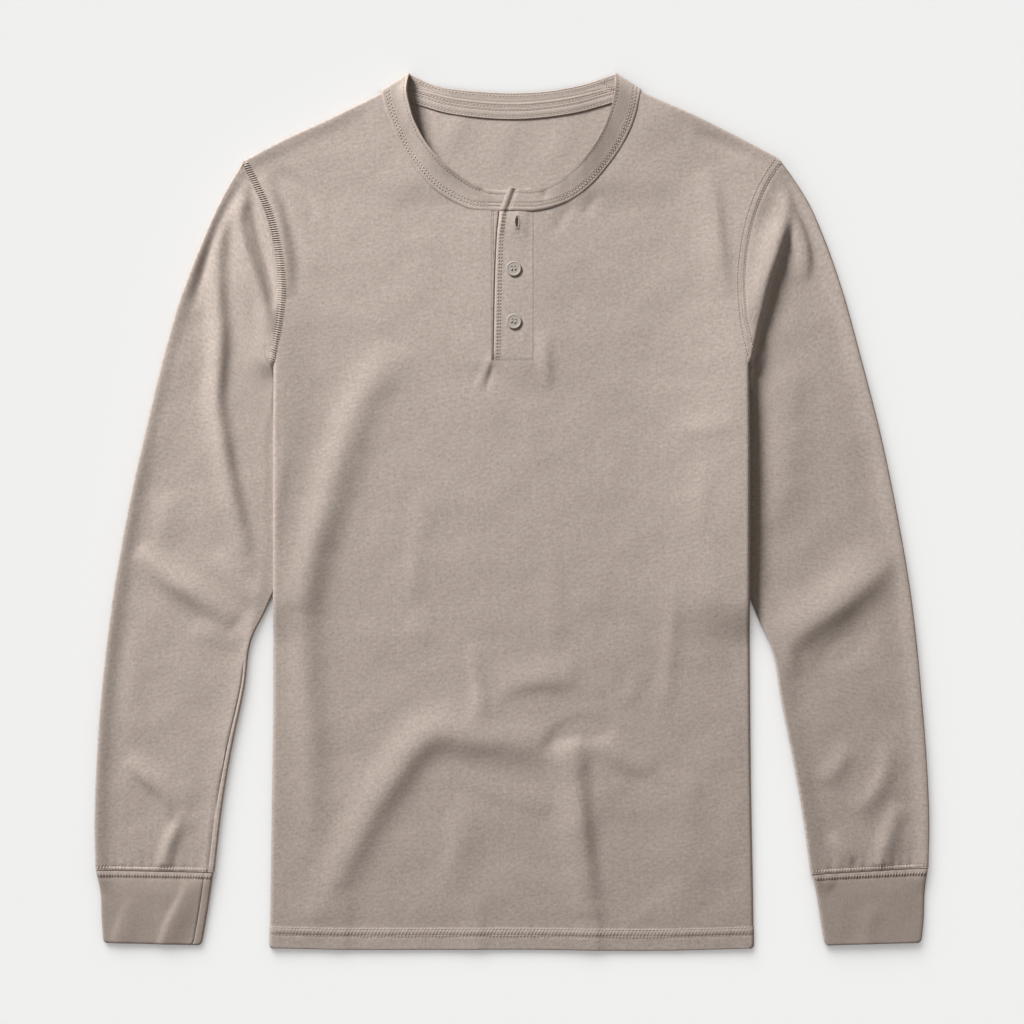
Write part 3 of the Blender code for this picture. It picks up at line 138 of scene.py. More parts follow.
# neckband: joined edge x, y and free edge x, y
NECK_LEFT = (
    (14.0, 249.4, 15.0, 266.2),
    (1.0, 248.2, 2.0, 264.8),
    (-8.5, 247.9, -6.0, 264.4),
    (-17.75, 248.0, -15.5, 264.8),
    (-33.0, 249.2, -29.3, 268.8),
    (-47.1, 255.0, -41.8, 276.0),
    (-61.2, 263.8, -55.2, 286.3),
    (-75.2, 277.6, -68.4, 300.5),
    (-88.0, 295.4, -78.6, 317.8),
    (-97.6, 315.7, -84.0, 333.6),
    (-104.4, 332.9, -86.4, 347.8),
    (-107.0, 347.0, -84.8, 360.6),
)
NECK_RIGHT = (
    (-9.6, 248.8, -2.4, 267.2),
    (4.0, 248.2, 10.0, 265.2),
    (18.75, 248.2, 24.0, 266.4),
    (33.0, 251.0, 37.0, 272.0),
    (49.0, 257.4, 50.0, 281.4),
    (64.0, 268.4, 61.6, 294.0),
    (78.0, 284.0, 72.0, 309.6),
    (91.0, 302.6, 79.6, 327.0),
    (100.0, 322.0, 84.0, 343.0),
    (106.0, 347.2, 84.8, 360.6),
)
NECK_BACK = (
    (-107.0, 347.0, -84.8, 360.6),
    (-97.0, 347.8, -78.6, 357.4),
    (-86.0, 346.8, -71.0, 353.8),
    (-74.0, 343.6, -63.0, 350.8),
    (-55.0, 337.8, -48.0, 348.0),
    (-28.0, 333.8, -25.0, 345.8),
    (1.0, 332.2, 1.5, 344.8),
    (30.0, 334.2, 28.0, 346.2),
    (54.0, 338.2, 48.0, 349.4),
    (72.0, 343.2, 62.0, 352.8),
    (86.0, 347.0, 73.0, 356.6),
    (97.0, 348.0, 79.6, 358.8),
    (106.0, 347.2, 84.8, 360.6),
)
PLACKET_FOLD = ((125, -14.6), (150, -14.2), (190, -13.4), (225, -12.0), (248, -9.6))
BUTTONS = (("button_1", 4.2, 238.5), ("button_2", 1.4, 200.2), ("button_3", 1.6, 156.8))
SLEEVE_LEFT = (
    (-220.0, 290.0, -197.0, 124.0, 1.00),
    (-229.0, 276.0, -196.2, 118.5, 0.88),
    (-242.0, 252.0, -193.8, 111.5, 0.70),
    (-258.0, 215.0, -191.6, 103.0, 0.48),
    (-272.0, 178.0, -190.2, 93.0, 0.30),
    (-287.0, 126.0, -188.8, 78.0, 0.16),
    (-300.0, 72.0, -187.6, 54.0, 0.06),
    (-311.0, 24.0, -186.6, 12.0, 0.00),
    (-318.5, -14.0, -187.4, -28.0, 0.00),
    (-323.5, -42.0, -192.0, -52.0, 0.00),
    (-328.6, -74.0, -203.0, -80.0, 0.00),
    (-333.2, -110.0, -215.2, -106.0, 0.00),
    (-337.6, -152.0, -220.6, -144.0, 0.00),
    (-341.0, -200.0, -231.0, -194.0, 0.00),
    (-343.0, -254.0, -239.6, -246.0, 0.00),
    (-342.2, -294.4, -245.4, -296.4, 0.00),
)
SLEEVE_RIGHT = (
    (219.6, 290.6, 196.1, 129.0, 1.00),
    (229.0, 278.0, 195.2, 122.0, 0.88),
    (243.0, 256.0, 193.0, 114.0, 0.70),
    (257.5, 223.0, 191.0, 105.0, 0.48),
    (271.0, 184.0, 189.8, 94.0, 0.30),
    (286.5, 128.0, 188.6, 78.0, 0.16),
    (300.5, 74.0, 187.0, 54.0, 0.06),
    (311.5, 24.0, 185.8, 12.0, 0.00),
    (318.8, -14.0, 186.4, -28.0, 0.00),
    (323.8, -42.0, 191.4, -54.0, 0.00),
    (328.6, -74.0, 202.6, -86.0, 0.00),
    (333.0, -112.0, 215.0, -114.0, 0.00),
    (337.0, -156.0, 222.0, -154.0, 0.00),
    (340.6, -202.0, 232.0, -204.0, 0.00),
    (342.8, -252.0, 240.6, -254.0, 0.00),
    (342.2, -292.6, 246.4, -298.0, 0.00),
)
# cuff sections: outer x, y, inner x, y, wall heights above and below
CUFF_LEFT = (
    (-341.4, -295.1, -246.6, -297.1, 5.2, 1.0),
    (-338.2, -310.0, -248.8, -311.0, 5.1, 1.0),
    (-337.0, -334.0, -252.6, -335.0, 4.5, 1.0),
    (-335.6, -354.2, -256.4, -356.2, 4.0, 1.0),
)
CUFF_RIGHT = (
    (341.2, -293.3, 248.4, -298.7, 4.6, 1.0),
    (338.8, -312.0, 251.6, -314.0, 4.8, 1.0),
    (338.0, -334.0, 255.0, -336.0, 5.4, 1.0),
    (336.0, -354.0, 258.4, -356.2, 6.0, 1.0),
)

# ---------------------------------------------------------------- folds
# rise (a trough is negative), width on the left of the path, width on its
# right, then the crest from one end to the other
FRONT_FOLDS = (
    ("hem arc", 4.7, 17, 13.5, ((-168, -350), (-156, -326), (-148, -307), (-135, -285), (-123, -260), (-109, -236), (-94, -214), (-78, -193), (-66, -185), (-55, -183), (-40, -185.5), (-22, -188.5), (0, -190), (16, -191.5), (34, -197.5), (50, -208), (58, -216))),
    ("hem arc shelf", 1.0, 14, 16, ((-90, -180), (-50, -162), (-5, -160), (40, -164))),
    ("side fold", 4.7, 16, 15, ((-95, 138), (-109, 113), (-123, 92), (-137, 59), (-149, 18), (-158, -15), (-167, -48), (-172, -83))),
    ("side fold tail", 3.0, 12, 12, ((-152, 14), (-164, -36), (-170, -86), (-169, -140), (-166, -190), (-165, -240), (-164, -290))),
    ("left edge", 1.2, 6, 8, ((-188, 59), (-193, 9), (-196, -32))),
    ("arc spur", 1.8, 10, 5, ((-35, -108), (-30, -133), (-27, -155), (-34, -177))),
    ("waist fold", 1.9, 15, 8, ((-16, -150), (7, -142), (27, -139), (56, -138))),
    ("waist trough", -3.0, 6.5, 9, ((24, -200), (38, -186), (56, -178), (84, -181))),
    ("right crease", 4.3, 15, 8, ((66, -334), (62, -303), (58, -266), (54, -229), (51, -182))),
    ("right spur", 1.7, 11, 7, ((68, -186), (87, -202), (102, -210), (120, -209))),
    ("right line", 1.0, 6, 7, ((133, -56), (132, -89), (130, -118), (128, -147), (124, -170))),
    ("right swell", 2.2, 18, 52, ((156, 110), (160, 40), (160, -40), (152, -130))),
    ("right hook", 0.6, 6, 8, ((109, -122), (102, -145), (87, -162))),
    ("mid dimple", 0.5, 8, 8, ((41, -81), (30, -107))),
    ("chest line", 0.8, 9, 6, ((128, 67), (155, 67), (186, 72))),
    ("chest drop", 0.8, 6, 8, ((158, 41), (155, -19))),
    ("arc inner", 1.4, 14, 9, ((-42, -233), (-44, -274), (-53, -312))),
    ("left faint", 0.8, 9, 8, ((-72, 19), (-78, -28), (-83, -77))),
    ("left short", 0.7, 8, 7, ((-86, -91), (-66, -107))),
    ("right skirt", 1.5, 14, 24, ((146, -215), (140, -250), (150, -290), (160, -324))),
    ("skirt dip", -1.2, 22, 26, ((70, -250), (100, -285), (122, -320))),
    ("hem wave a", 1.2, 7, 13, ((-29, -318), (-26, -390))),
    ("hem wave b", 1.5, 7, 13, ((67, -320), (68, -390))),
    ("hem wave c", 1.2, 8, 12, ((-136, -312), (-146, -390))),
    ("left armhole", 2.4, 4.5, 8, ((-206, 276), (-195, 251), (-189.5, 229), (-185.5, 205), (-184.5, 176))),
    ("left armhole dip", -1.2, 5, 5, ((-197, 278), (-187, 250), (-180, 229), (-175, 205), (-174, 180))),
    ("left shoulder dip", -1.1, 5, 5, ((-192, 282), (-178, 272), (-166, 255), (-162, 240))),
    ("right armhole", 2.4, 6, 15, ((156, 281), (165, 260), (169, 233), (172, 205), (177, 176))),
    ("right shoulder dip", -1.0, 6, 6, ((150, 312), (170, 304), (196, 292))),
    ("neck pull a", -0.9, 4, 5, ((50, 256), (33, 227))),
    ("neck pull b", -0.7, 4, 5, ((71, 263), (59, 243))),
    ("foot pucker left", 1.0, 2.6, 3.0, ((-16, 130), (-22, 115), (-30, 98))),
    ("foot pucker dip", -0.6, 2.2, 2.6, ((-15, 122), (-18, 112), (-22, 98))),
    ("foot pucker right", 1.3, 3.6, 7, ((26, 148), (28, 129), (30, 100))),
)
BACK_FOLDS = (
    ("nape left", 1.0, 7, 8, ((-38, 330), (-46, 316), (-54, 296))),
    ("nape middle", 0.7, 9, 10, ((0, 326), (-8, 300), (-10, 276))),
    ("nape right", 0.7, 9, 8, ((46, 322), (38, 300), (24, 282))),
    ("under left", 1.0, 14, 12, ((-120, 60), (-132, -10), (-128, -90))),
    ("under middle", 1.0, 12, 14, ((20, 40), (36, -60), (30, -150))),
    ("under hem", 1.1, 16, 12, ((-80, -180), (-20, -230), (60, -238), (120, -210))),
    ("under right", 0.9, 12, 12, ((110, 150), (126, 70), (118, 0))),
)
SLEEVE_FOLDS_LEFT = (
    ("cap swell", 2.0, 16, 10, ((-213, 268), (-220, 236), (-221, 200), (-216, 162), (-212, 122))),
    ("outer swell", 1.5, 15, 12, ((-258, 200), (-273, 150), (-283, 100), (-291, 60), (-298, 15))),
    ("long fold", 5.4, 6.4, 8.4, ((-221, 270), (-229, 250), (-238, 232), (-241.5, 214), (-242, 180), (-240, 145), (-241.5, 118), (-243, 100), (-239, 60), (-232, 18), (-218, -36))),
    ("long fold foot", 1.8, 4.5, 8, ((-238, 76), (-233, 40), (-226, 6), (-214, -48))),
    ("armhole ridge", 5.4, 4.5, 5.5, ((-219, 262), (-224.5, 240), (-219, 216), (-211.5, 195), (-204, 172), (-199.5, 146))),
    ("armhole dip", -4.2, 4.2, 4.2, ((-216, 268), (-213, 250), (-208.5, 229), (-202.5, 208), (-197, 186), (-194, 168))),
    ("outer dip", -3.2, 4.8, 4.8, ((-227, 272), (-238, 252), (-246, 234), (-252.5, 213), (-260, 182), (-263, 167))),
    ("inner spot", -1.0, 3.0, 3.0, ((-201, 138), (-204, 126))),
    ("elbow fold", 4.7, 12, 9, ((-308, -30), (-282, -55), (-256, -72), (-228, -92))),
    ("elbow top", 2.2, 8, 7, ((-243, -34), (-224, -62), (-208, -80))),
    ("elbow under", 1.4, 9, 9, ((-262, -95), (-240, -102), (-222, -108))),
    ("inner pinch", -2.0, 5, 5, ((-219, -104), (-221, -128))),
    ("low fold", 3.0, 9, 6, ((-318, -204), (-300, -219), (-286, -233), (-279, -254))),
    ("cuff fold", 3.4, 8, 5.5, ((-268, -246), (-280, -270), (-290, -304))),
    ("cuff dip", -1.2, 6, 6, ((-262, -240), (-274, -268), (-284, -300))),
    ("low soft", 1.2, 8, 9, ((-272, -220), (-262, -264))),
    ("mid soft", 1.0, 10, 9, ((-280, 18), (-288, -30))),
    ("edge soft", 0.9, 9, 9, ((-306, -90), (-312, -140), (-310, -190))),
)
SLEEVE_FOLDS_RIGHT = (
    ("wedge top", 3.6, 11, 4.5, ((201, 158), (206.5, 180), (212.5, 200), (219, 220), (223.5, 240), (225.5, 264))),
    ("wedge ridge", 0.9, 11, 4.5, ((191, 104), (193, 128), (195.5, 147), (200.5, 168), (206, 188), (213, 205), (217.5, 220), (222, 240), (224, 262))),
    ("shoulder crease", 3.4, 3.6, 9, ((221, 272), (231, 246), (237, 232), (240.5, 221), (242.4, 209), (241, 192))),
    ("mid swell", 1.6, 14, 15, ((230, 133), (229, 75), (224, 18), (212, -19))),
    ("elbow fold", 5.4, 13, 20, ((315, -28), (293, -56), (277, -70), (258, -84), (241, -95), (229, -107), (220, -134))),
    ("elbow dip", -1.4, 12, 12, ((300, -96), (272, -112), (246, -128))),
    ("low fold a", 1.7, 8, 8, ((278, -193), (268, -209), (257, -225))),
    ("low fold b", 2.0, 9, 7, ((309, -190), (305, -219), (296, -234), (280, -249))),
    ("cuff fold", 2.6, 8, 7, ((319, -240), (309, -269), (300, -306))),
    ("cuff fold short", 1.8, 6, 6, ((262, -266), (281, -288))),
    ("mid dip", -0.9, 14, 12, ((282, 60), (296, 0), (300, -20))),
)
CUFF_FOLDS_LEFT = (
    ("streak", 2.0, 12, 3.6, ((-264, -300), (-270, -317), (-281, -338), (-292, -372))),
    ("second", 1.1, 12, 4.5, ((-312, -316), (-321, -340), (-330, -372))),
)
CUFF_FOLDS_RIGHT = (
    ("soft", 0.8, 8, 9, ((300, -322), (292, -345), (290, -372))),
    ("corner", 0.8, 6, 6, ((256, -300), (264, -309))),
)
# slow unevenness of all the cloth: wave length, direction in degrees, phase, height
RIPPLES = (
    (96, 18, 0.4, 0.13),
    (71, 64, 2.1, 0.11),
    (58, 121, 4.0, 0.09),
    (44, 97, 1.2, 0.07),
    (37, 152, 5.1, 0.055),
    (29, 40, 3.3, 0.045),
    (23, 83, 0.9, 0.032),
    (19, 128, 2.7, 0.026),
    (14, 12, 1.7, 0.016),
    (11, 71, 4.4, 0.012),
)


# ---------------------------------------------------------------- curves
def track(rows, x, column):
    """Smooth value of a table's column at x; the first column rises."""
    xs = np.array([r[0] for r in rows], float)
    ys = np.array([r[column] for r in rows], float)
    step = np.diff(xs)
    grade = np.diff(ys) / step
    slope = np.zeros(len(xs))
    same = grade[:-1] * grade[1:] > 0
    both = np.where(same, grade[:-1] + grade[1:], 1.0)
    slope[1:-1] = np.where(same, 2 * grade[:-1] * grade[1:] / both, 0.0)
    slope[0], slope[-1] = grade[0], grade[-1]
    x = np.clip(np.asarray(x, float), xs[0], xs[-1])
    i = np.clip(np.searchsorted(xs, x, side="right") - 1, 0, len(step) - 1)
    t = (x - xs[i]) / step[i]
    return ((2 * t**3 - 3 * t**2 + 1) * ys[i] + (t**3 - 2 * t**2 + t) * step[i] * slope[i]
            + (3 * t**2 - 2 * t**3) * ys[i + 1] + (t**3 - t**2) * step[i] * slope[i + 1])


class Path:
    """Smooth curve through table rows, read by its fraction of length."""

    def __init__(self, rows, per=12, measure=None):
        pts = np.array(rows, float)
        lead = pts if measure is None else pts[:, :measure]
        gap = np.maximum(np.linalg.norm(np.diff(lead, axis=0), axis=1), 1e-6)
        grade = np.diff(pts, axis=0) / gap[:, None]
        slope = np.empty_like(pts)
        slope[1:-1] = (grade[:-1] * gap[1:, None] + grade[1:] * gap[:-1, None]) / (gap[1:] + gap[:-1])[:, None]
        slope[0], slope[-1] = grade[0], grade[-1]
        out = []
        for i in range(len(gap)):
            for t in np.arange(per) / per:
                out.append((2 * t**3 - 3 * t**2 + 1) * pts[i] + (t**3 - 2 * t**2 + t) * gap[i] * slope[i]
                           + (3 * t**2 - 2 * t**3) * pts[i + 1] + (t**3 - t**2) * gap[i] * slope[i + 1])
        out.append(pts[-1])
        self.points = np.array(out)
        lead = self.points if measure is None else self.points[:, :measure]
        run = np.concatenate([[0], np.cumsum(np.linalg.norm(np.diff(lead, axis=0), axis=1))])
        self.length = run[-1]
        self.run = run / run[-1]

    def at(self, fraction):
        return np.stack([np.interp(fraction, self.run, self.points[:, k])
                         for k in range(self.points.shape[1])], axis=-1)


def ease(t):
    t = np.clip(t, 0, 1)
    return t * t * (3 - 2 * t)


def bell(x, width):
    return np.exp(-(x / width) ** 2)


def spaced(length, start, end, step):
    """Distances from 0 to length: as given near the two ends, even between them."""
    start, end = np.array(start, float), np.array(end, float)
    count = max(int(round((length - start[-1] - end[-1]) / step)), 1)
    middle = np.linspace(start[-1], length - end[-1], count + 1)
    return np.concatenate([start[:-1], middle, (length - end[:-1])[::-1]])


def offset_line(points, distance):
    """Moves a drawn line sideways, to the left of its direction, corners kept sharp."""
    p = np.asarray(points, float)
    d = np.diff(p, axis=0)
    d /= np.linalg.norm(d, axis=1)[:, None]
    n = np.stack([-d[:, 1], d[:, 0]], axis=-1)
    at = np.vstack([n[:1], n[:-1] + n[1:], n[-1:]])
    at /= np.linalg.norm(at, axis=1)[:, None]
    cos = np.sum(at * np.vstack([n[:1], n]), axis=1)
    return p + at * (distance / cos)[:, None]


def fold_height(x, y, folds):
    """Sum of soft ridges and troughs that follow their paths and die out at the ends."""
    total = np.zeros_like(x)
    for _, rise, wide_left, wide_right, rows in folds:
        q = Path(rows, per=5).points
        reach = 2.6 * max(wide_left, wide_right)
        low, high = q.min(axis=0) - reach, q.max(axis=0) + reach
        near_by = (x > low[0]) & (x < high[0]) & (y > low[1]) & (y < high[1])
        if not near_by.any():
            continue
        px, py = x[near_by], y[near_by]
        a, b = q[:-1], q[1:]
        ab = b - a
        size = np.linalg.norm(ab, axis=1)
        start = np.concatenate([[0], np.cumsum(size)])
        best = np.full(px.shape, 1e9)
        along = np.zeros_like(px)
        side = np.zeros_like(px)
        for i in range(len(a)):
            t = np.clip(((px - a[i, 0]) * ab[i, 0] + (py - a[i, 1]) * ab[i, 1]) / size[i] ** 2, 0, 1)
            dx, dy = px - a[i, 0] - t * ab[i, 0], py - a[i, 1] - t * ab[i, 1]
            d = np.hypot(dx, dy)
            near = d < best
            best = np.where(near, d, best)
            along = np.where(near, (start[i] + t * size[i]) / start[-1], along)
            side = np.where(near, (ab[i, 0] * dy - ab[i, 1] * dx) / size[i], side)
        # the two flanks' widths change over smoothly at the crest
        share = 0.5 + 0.5 * np.tanh(side / 3.0)
        width = wide_right + (wide_left - wide_right) * share
        total[near_by] += rise * np.sin(math.pi * along) ** 0.7 * np.exp(-(best / width) ** 2)
    return total


def ripple(x, y, scale=1.0):
    total = np.zeros_like(x)
    for length, turn, phase, height in RIPPLES:
        a = math.radians(turn)
        across = x * math.cos(a) + y * math.sin(a)
        along = -x * math.sin(a) + y * math.cos(a)
        total += height * np.sin(2 * math.pi * across / length + phase + 1.3 * np.sin(2 * math.pi * along / (length * 2.7) + 2 * phase))
    return total * scale


# ---------------------------------------------------------------- body tube
def round_corner(away, radius):
    """How far a rounded corner draws in at a distance from the end."""
    t = np.clip(1 - away / radius, 0, 1)
    return radius * (1 - np.sqrt(1 - 0.96 * t ** 2))


def side_edges(y):
    inset = round_corner(y - HEM[0][1], HEM_CORNER)
    return track(SIDE, y, 1) + inset, track(SIDE, y, 2) - inset


def shoulder_gap(x, y):
    """Distance inside the shoulder fold, which ends at the neckband's corner."""
    x, y = np.asarray(x, float), np.asarray(y, float)
    out = np.abs(x)
    line = lambda at: np.where(x < 0, track(SHOULDER, at, 1), track(SHOULDER, at, 2))
    corner = line(NECK_CORNER + 0 * out)
    before = (out - NECK_CORNER) * 0.89 - (y - corner) * 0.46 < 0
    return np.where(before, np.hypot(out - NECK_CORNER, corner - y), (line(out) - y) * 0.89)


def nape(x, y):
    """The back rises a little towards the band."""
    return 2.6 * ease((y - 258) / 125) * (1 - ease((np.abs(x + 4) - 48) / 34))


def lower_wall(x, y):
    """Middle of the wall that lies below: on the surface, or over the tucked sleeve."""
    xl, xr = side_edges(y)
    inside = np.minimum(x - xl, xr - x)
    near_edge = 1 - ease((inside - TUCK_FLAT) / (TUCK_END - TUCK_FLAT))
    along = ease((y - TUCK_Y[0]) / (TUCK_Y[1] - TUCK_Y[0])) * (1 - ease((y - 128) / 55))
    hem = 1 - ease((y - track(HEM, x, 1) - HEM_DEPTH + 2) / 4)
    folds = fold_height(x, y, BACK_FOLDS) * ease((inside - 40) / 20)
    return FLOOR + (TUCK_LIFT - FLOOR) * near_edge * along + (WALL_HEM - WALL) / 2 * hem + folds + nape(x, y)


def upper_wall(x, y):
    """Middle of the front wall, before the shoulder fold takes it down."""
    xl, xr = side_edges(y)
    z = np.full_like(x, REST)
    z = z + (track(EDGE_LIFT, y, 1) - REST) * np.exp(-(np.maximum(x - xl, 0) / 30) ** 1.7)
    z = z + (track(EDGE_LIFT, y, 2) - REST) * np.exp(-(np.maximum(xr - x, 0) / 40) ** 1.6)
    # up to the upper placket on its right, level with the under placket on its left
    beside = np.where(x > 16, np.exp(-((x - 16) / 42) ** 2), ease((x + 16) / 30))
    z = z + (PLACKET_HIGH - REST) * beside * ease((y - 92) / 34)
    z = z + 1.1 * np.exp(-((x + 17) / 22) ** 2) * ease((y - 110) / 16)
    ring = np.maximum(np.hypot(x / 107, (y - 345) / 97) - 1, 0) * 100
    z = z + 2.0 * np.exp(-(ring / 42) ** 2) * ease((np.abs(x) - 22) / 40) * ease((y - 246) / 30)
    # round the neck towards the shoulders
    gap = shoulder_gap(x, y)
    z = z + 1.9 * np.exp(-(np.maximum(gap, 0) / 34) ** 2) * np.where(np.abs(x) < 219, 1.0, 0.6)
    # the shoulder's edge stands a little over the cloth beside it
    z = z + np.where(np.abs(x) > 100, 1.5 * bell(gap - 1, 7.0) * ease((np.abs(x) - 112) / 30), 0)
    settle = ease((np.minimum(x - xl, xr - x) - 2) / 14) * ease((gap - 2) / 12)
    by_placket = 1 - bell(np.maximum(np.abs(x) - 18, 0), 14) * ease((y - 100) / 30)
    z = z + fold_height(x, y, FRONT_FOLDS) + ripple(x, y) * settle * by_placket
    # the hem: its edge turned up inside, and the two rows of stitches drawn in
    depth = y - track(HEM, x, 1)
    for row in HEM_STITCH:
        z = z - 0.32 * bell(depth - row, 0.75)
    z = z + 0.22 * bell(depth - (HEM_STITCH[0] + HEM_STITCH[1]) / 2, 1.7) - 0.25 * ease((depth - 17.4) / 1.0) * (1 - ease((depth - 19) / 14))
    z = z + 0.14 * bell(depth - 14, 7) * np.sin(2 * math.pi * x / 11.5 + 1.7 * np.sin(x / 31.0))
    return np.maximum(z, lower_wall(x, y) + 2.2)


def turn_shoulder(x, y, z, low, high, sign):
    """Takes a wall round the shoulder fold to half height."""
    u = np.clip(shoulder_gap(x, y) / CREASE, 0, 1)
    rise = np.sqrt(np.maximum(1 - (1 - u) ** 2, 0))
    middle = (low + high) / 2
    return np.where(u < 1, middle + sign * np.maximum((high - low) / 2 * rise, SEAM / 2), z)


def wrap(s, y, sign):
    """Cloth coordinate to place. sign +1: measured on the top layer and carried
    round the edges underneath; -1: measured on the bottom layer and carried up."""
    s, y = np.broadcast_arrays(np.asarray(s, float), np.asarray(y, float))
    xl, xr = side_edges(y)
    x = s.copy()
    for hand, edge in ((-1, xl), (1, xr)):
        inside = (edge - s) * hand
        turn = np.clip((ROLL - inside) / ROLL, 0, math.pi)
        inset = np.where(inside >= ROLL, inside, ROLL - ROLL * np.sin(turn))
        past = (ROLL - math.pi * ROLL) - inside
        inset = np.where(past > 0, ROLL + past, inset)
        x = np.where(inside < ROLL, edge - hand * inset, x)
    turn_l = np.clip((ROLL - (s - xl)) / ROLL, 0, math.pi)
    turn_r = np.clip((ROLL - (xr - s)) / ROLL, 0, math.pi)
    turn = np.maximum(turn_l, turn_r)
    at = np.clip(x, xl + ROLL, xr - ROLL)
    high, low = upper_wall(at, y), lower_wall(at, y)
    z = (high + low) / 2 + sign * (high - low) / 2 * np.cos(turn)
    z = turn_shoulder(x, y, z, low, high, sign)
    return np.stack([x, y, z], axis=-1)


def wrap_normal(s, y, sign, step=0.02):
    a, b = wrap(s - step, y, sign), wrap(s + step, y, sign)
    d = b - a
    n = np.stack([-d[..., 2], np.zeros_like(d[..., 0]), d[..., 0]], axis=-1)
    return n / np.linalg.norm(n, axis=-1, keepdims=True) * sign


# ---------------------------------------------------------------- nets and shells
class Net:
    """Middle surface of a wall as blocks of points joined by index."""

    def __init__(self):
        self.points, self.uv, self.quads, self.fixed, self.count = [], [], [], [], 0

    def add(self, points, uv):
        points = np.asarray(points, float)
        index = self.count + np.arange(points[..., 0].size).reshape(points.shape[:-1])
        self.points.append(points.reshape(-1, 3))
        self.uv.append(np.asarray(uv, float).reshape(-1, 2))
        self.count += index.size
        return index

    def weave(self, index):
        self.quads.append(np.stack([index[:-1, :-1], index[:-1, 1:], index[1:, 1:], index[1:, :-1]], axis=-1).reshape(-1, 4))

    def fix(self, index, normals):
        index = np.atleast_1d(index)
        self.fixed.append((index, np.broadcast_to(np.asarray(normals, float), (len(index), 3))))


def corner_normals(points, quads):
    n = np.zeros_like(points)
    for a, b, c in ((0, 1, 2), (0, 2, 3)):
        w = np.cross(points[quads[:, b]] - points[quads[:, a]], points[quads[:, c]] - points[quads[:, a]])
        for k in (a, b, c):
            for axis in range(3):
                n[:, axis] += np.bincount(quads[:, k], weights=w[:, axis], minlength=len(points))
    return n / np.maximum(np.linalg.norm(n, axis=1), 1e-9)[:, None]


def distinct_corners(quads):
    """Quads as lists, with a repeated corner dropped and lines left out."""
    keep = (quads != np.roll(quads, 1, axis=1))
    whole = keep.all(axis=1)
    faces = quads[whole].tolist()
    for q, k in zip(quads[~whole], keep[~whole]):
        ring = [int(v) for v, good in zip(q, k) if good]
        if len(set(ring)) > 2:
            faces.append(ring)
    return faces


def shell(name, net, wall, material, out_up=None):
    """Gives a net its thickness, half to each side, and closes the rims."""
    points, uv, quads = np.vstack(net.points), np.vstack(net.uv), np.vstack(net.quads)
    if out_up is not None:
        # a tube's faces wind so that they look out of it
        n = corner_normals(points, quads)
        if np.sum(n[:, 2] * (points[:, 2] - out_up)) < 0:
            quads = quads[:, ::-1]
    n = corner_normals(points, quads)
    for index, normals in net.fixed:
        n[index] = normals / np.linalg.norm(normals, axis=1)[:, None]
    used, back = np.unique(quads, return_inverse=True)
    quads = back.reshape(quads.shape)
    points, uv, n = points[used], uv[used], n[used]
    half = np.broadcast_to(np.asarray(wall(points) if callable(wall) else wall, float) / 2, (len(points),))[:, None]
    outer, inner = points + n * half, points - n * half
    count = len(points)
    a, b = quads.reshape(-1), np.roll(quads, -1, axis=1).reshape(-1)
    real = a != b
    a, b = a[real], b[real]
    rim = ~np.isin(a * count + b, b * count + a)
    a, b = a[rim], b[rim]
    faces = distinct_corners(quads)
    faces += [[i + count for i in reversed(f)] for f in faces]
    faces += np.stack([b, a, a + count, b + count], axis=-1).tolist()
    return make_mesh(name, np.vstack([outer, inner]), faces, np.vstack([uv, uv]), material)


def make_mesh(name, points, faces, uv, material, sharp=50):
    mesh = bpy.data.meshes.new(name)
    mesh.from_pydata((points * MM).tolist(), [], faces)
    mesh.update()
    if uv is not None:
        layer = mesh.uv_layers.new(name="cloth")
        corner = np.empty(len(mesh.loops), int)
        mesh.loops.foreach_get("vertex_index", corner)
        layer.data.foreach_set("uv", (uv[corner] * MM).astype(np.float32).ravel())
    mesh.shade_smooth()
    mesh.set_sharp_from_angle(angle=math.radians(sharp))
    mesh.materials.append(material)
    obj = bpy.data.objects.new(name, mesh)
    bpy.context.scene.collection.objects.link(obj)
    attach(obj, "root")
    return obj


class Ground:
    """What lies on top at a place in plan."""

    def __init__(self, *objs):
        verts, faces = [], []
        for o in objs:
            base = len(verts)
            verts += [v.co / MM for v in o.data.vertices]
            faces += [[i + base for i in p.vertices] for p in o.data.polygons]
        self.tree = BVHTree.FromPolygons(verts, faces)

    def height(self, points, up=1.0):
        out = np.zeros(len(points))
        for i, (x, y) in enumerate(points):
            hit = self.tree.ray_cast(Vector((x, y, 60.0 * up)), Vector((0, 0, -up)))[0]
            out[i] = hit.z if hit is not None else np.nan
        return out


# ---------------------------------------------------------------- materials
def node(tree, kind, **inputs):
    n = tree.nodes.new(kind)
    for key, value in inputs.items():
        if key == "op":
            n.operation = value
        elif key.startswith("in"):
            socket = n.inputs[int(key[2:])]
            if isinstance(value, bpy.types.NodeSocket):
                tree.links.new(value, socket)
            else:
                socket.default_value = value
    return n


def math_node(tree, op, a, b=0.0, c=0.0):
    return node(tree, "ShaderNodeMath", op=op, in0=a, in1=b, in2=c).outputs[0]


def noise(tree, place, stretch, detail=2.0, rough=0.5, turn=0.0):
    """Noise from -1 to 1 with features of about the stretch, in millimetres."""
    m = tree.nodes.new("ShaderNodeMapping")
    m.vector_type = "TEXTURE"
    m.inputs["Rotation"].default_value = (0, 0, math.radians(turn))
    m.inputs["Scale"].default_value = (stretch[0], stretch[1], 1.0)
    tree.links.new(place, m.inputs["Vector"])
    n = tree.nodes.new("ShaderNodeTexNoise")
    n.inputs["Scale"].default_value = 1.0
    n.inputs["Detail"].default_value = detail
    n.inputs["Roughness"].default_value = rough
    tree.links.new(m.outputs[0], n.inputs["Vector"])
    return math_node(tree, "MULTIPLY_ADD", n.outputs["Fac"], 2.0, -1.0)


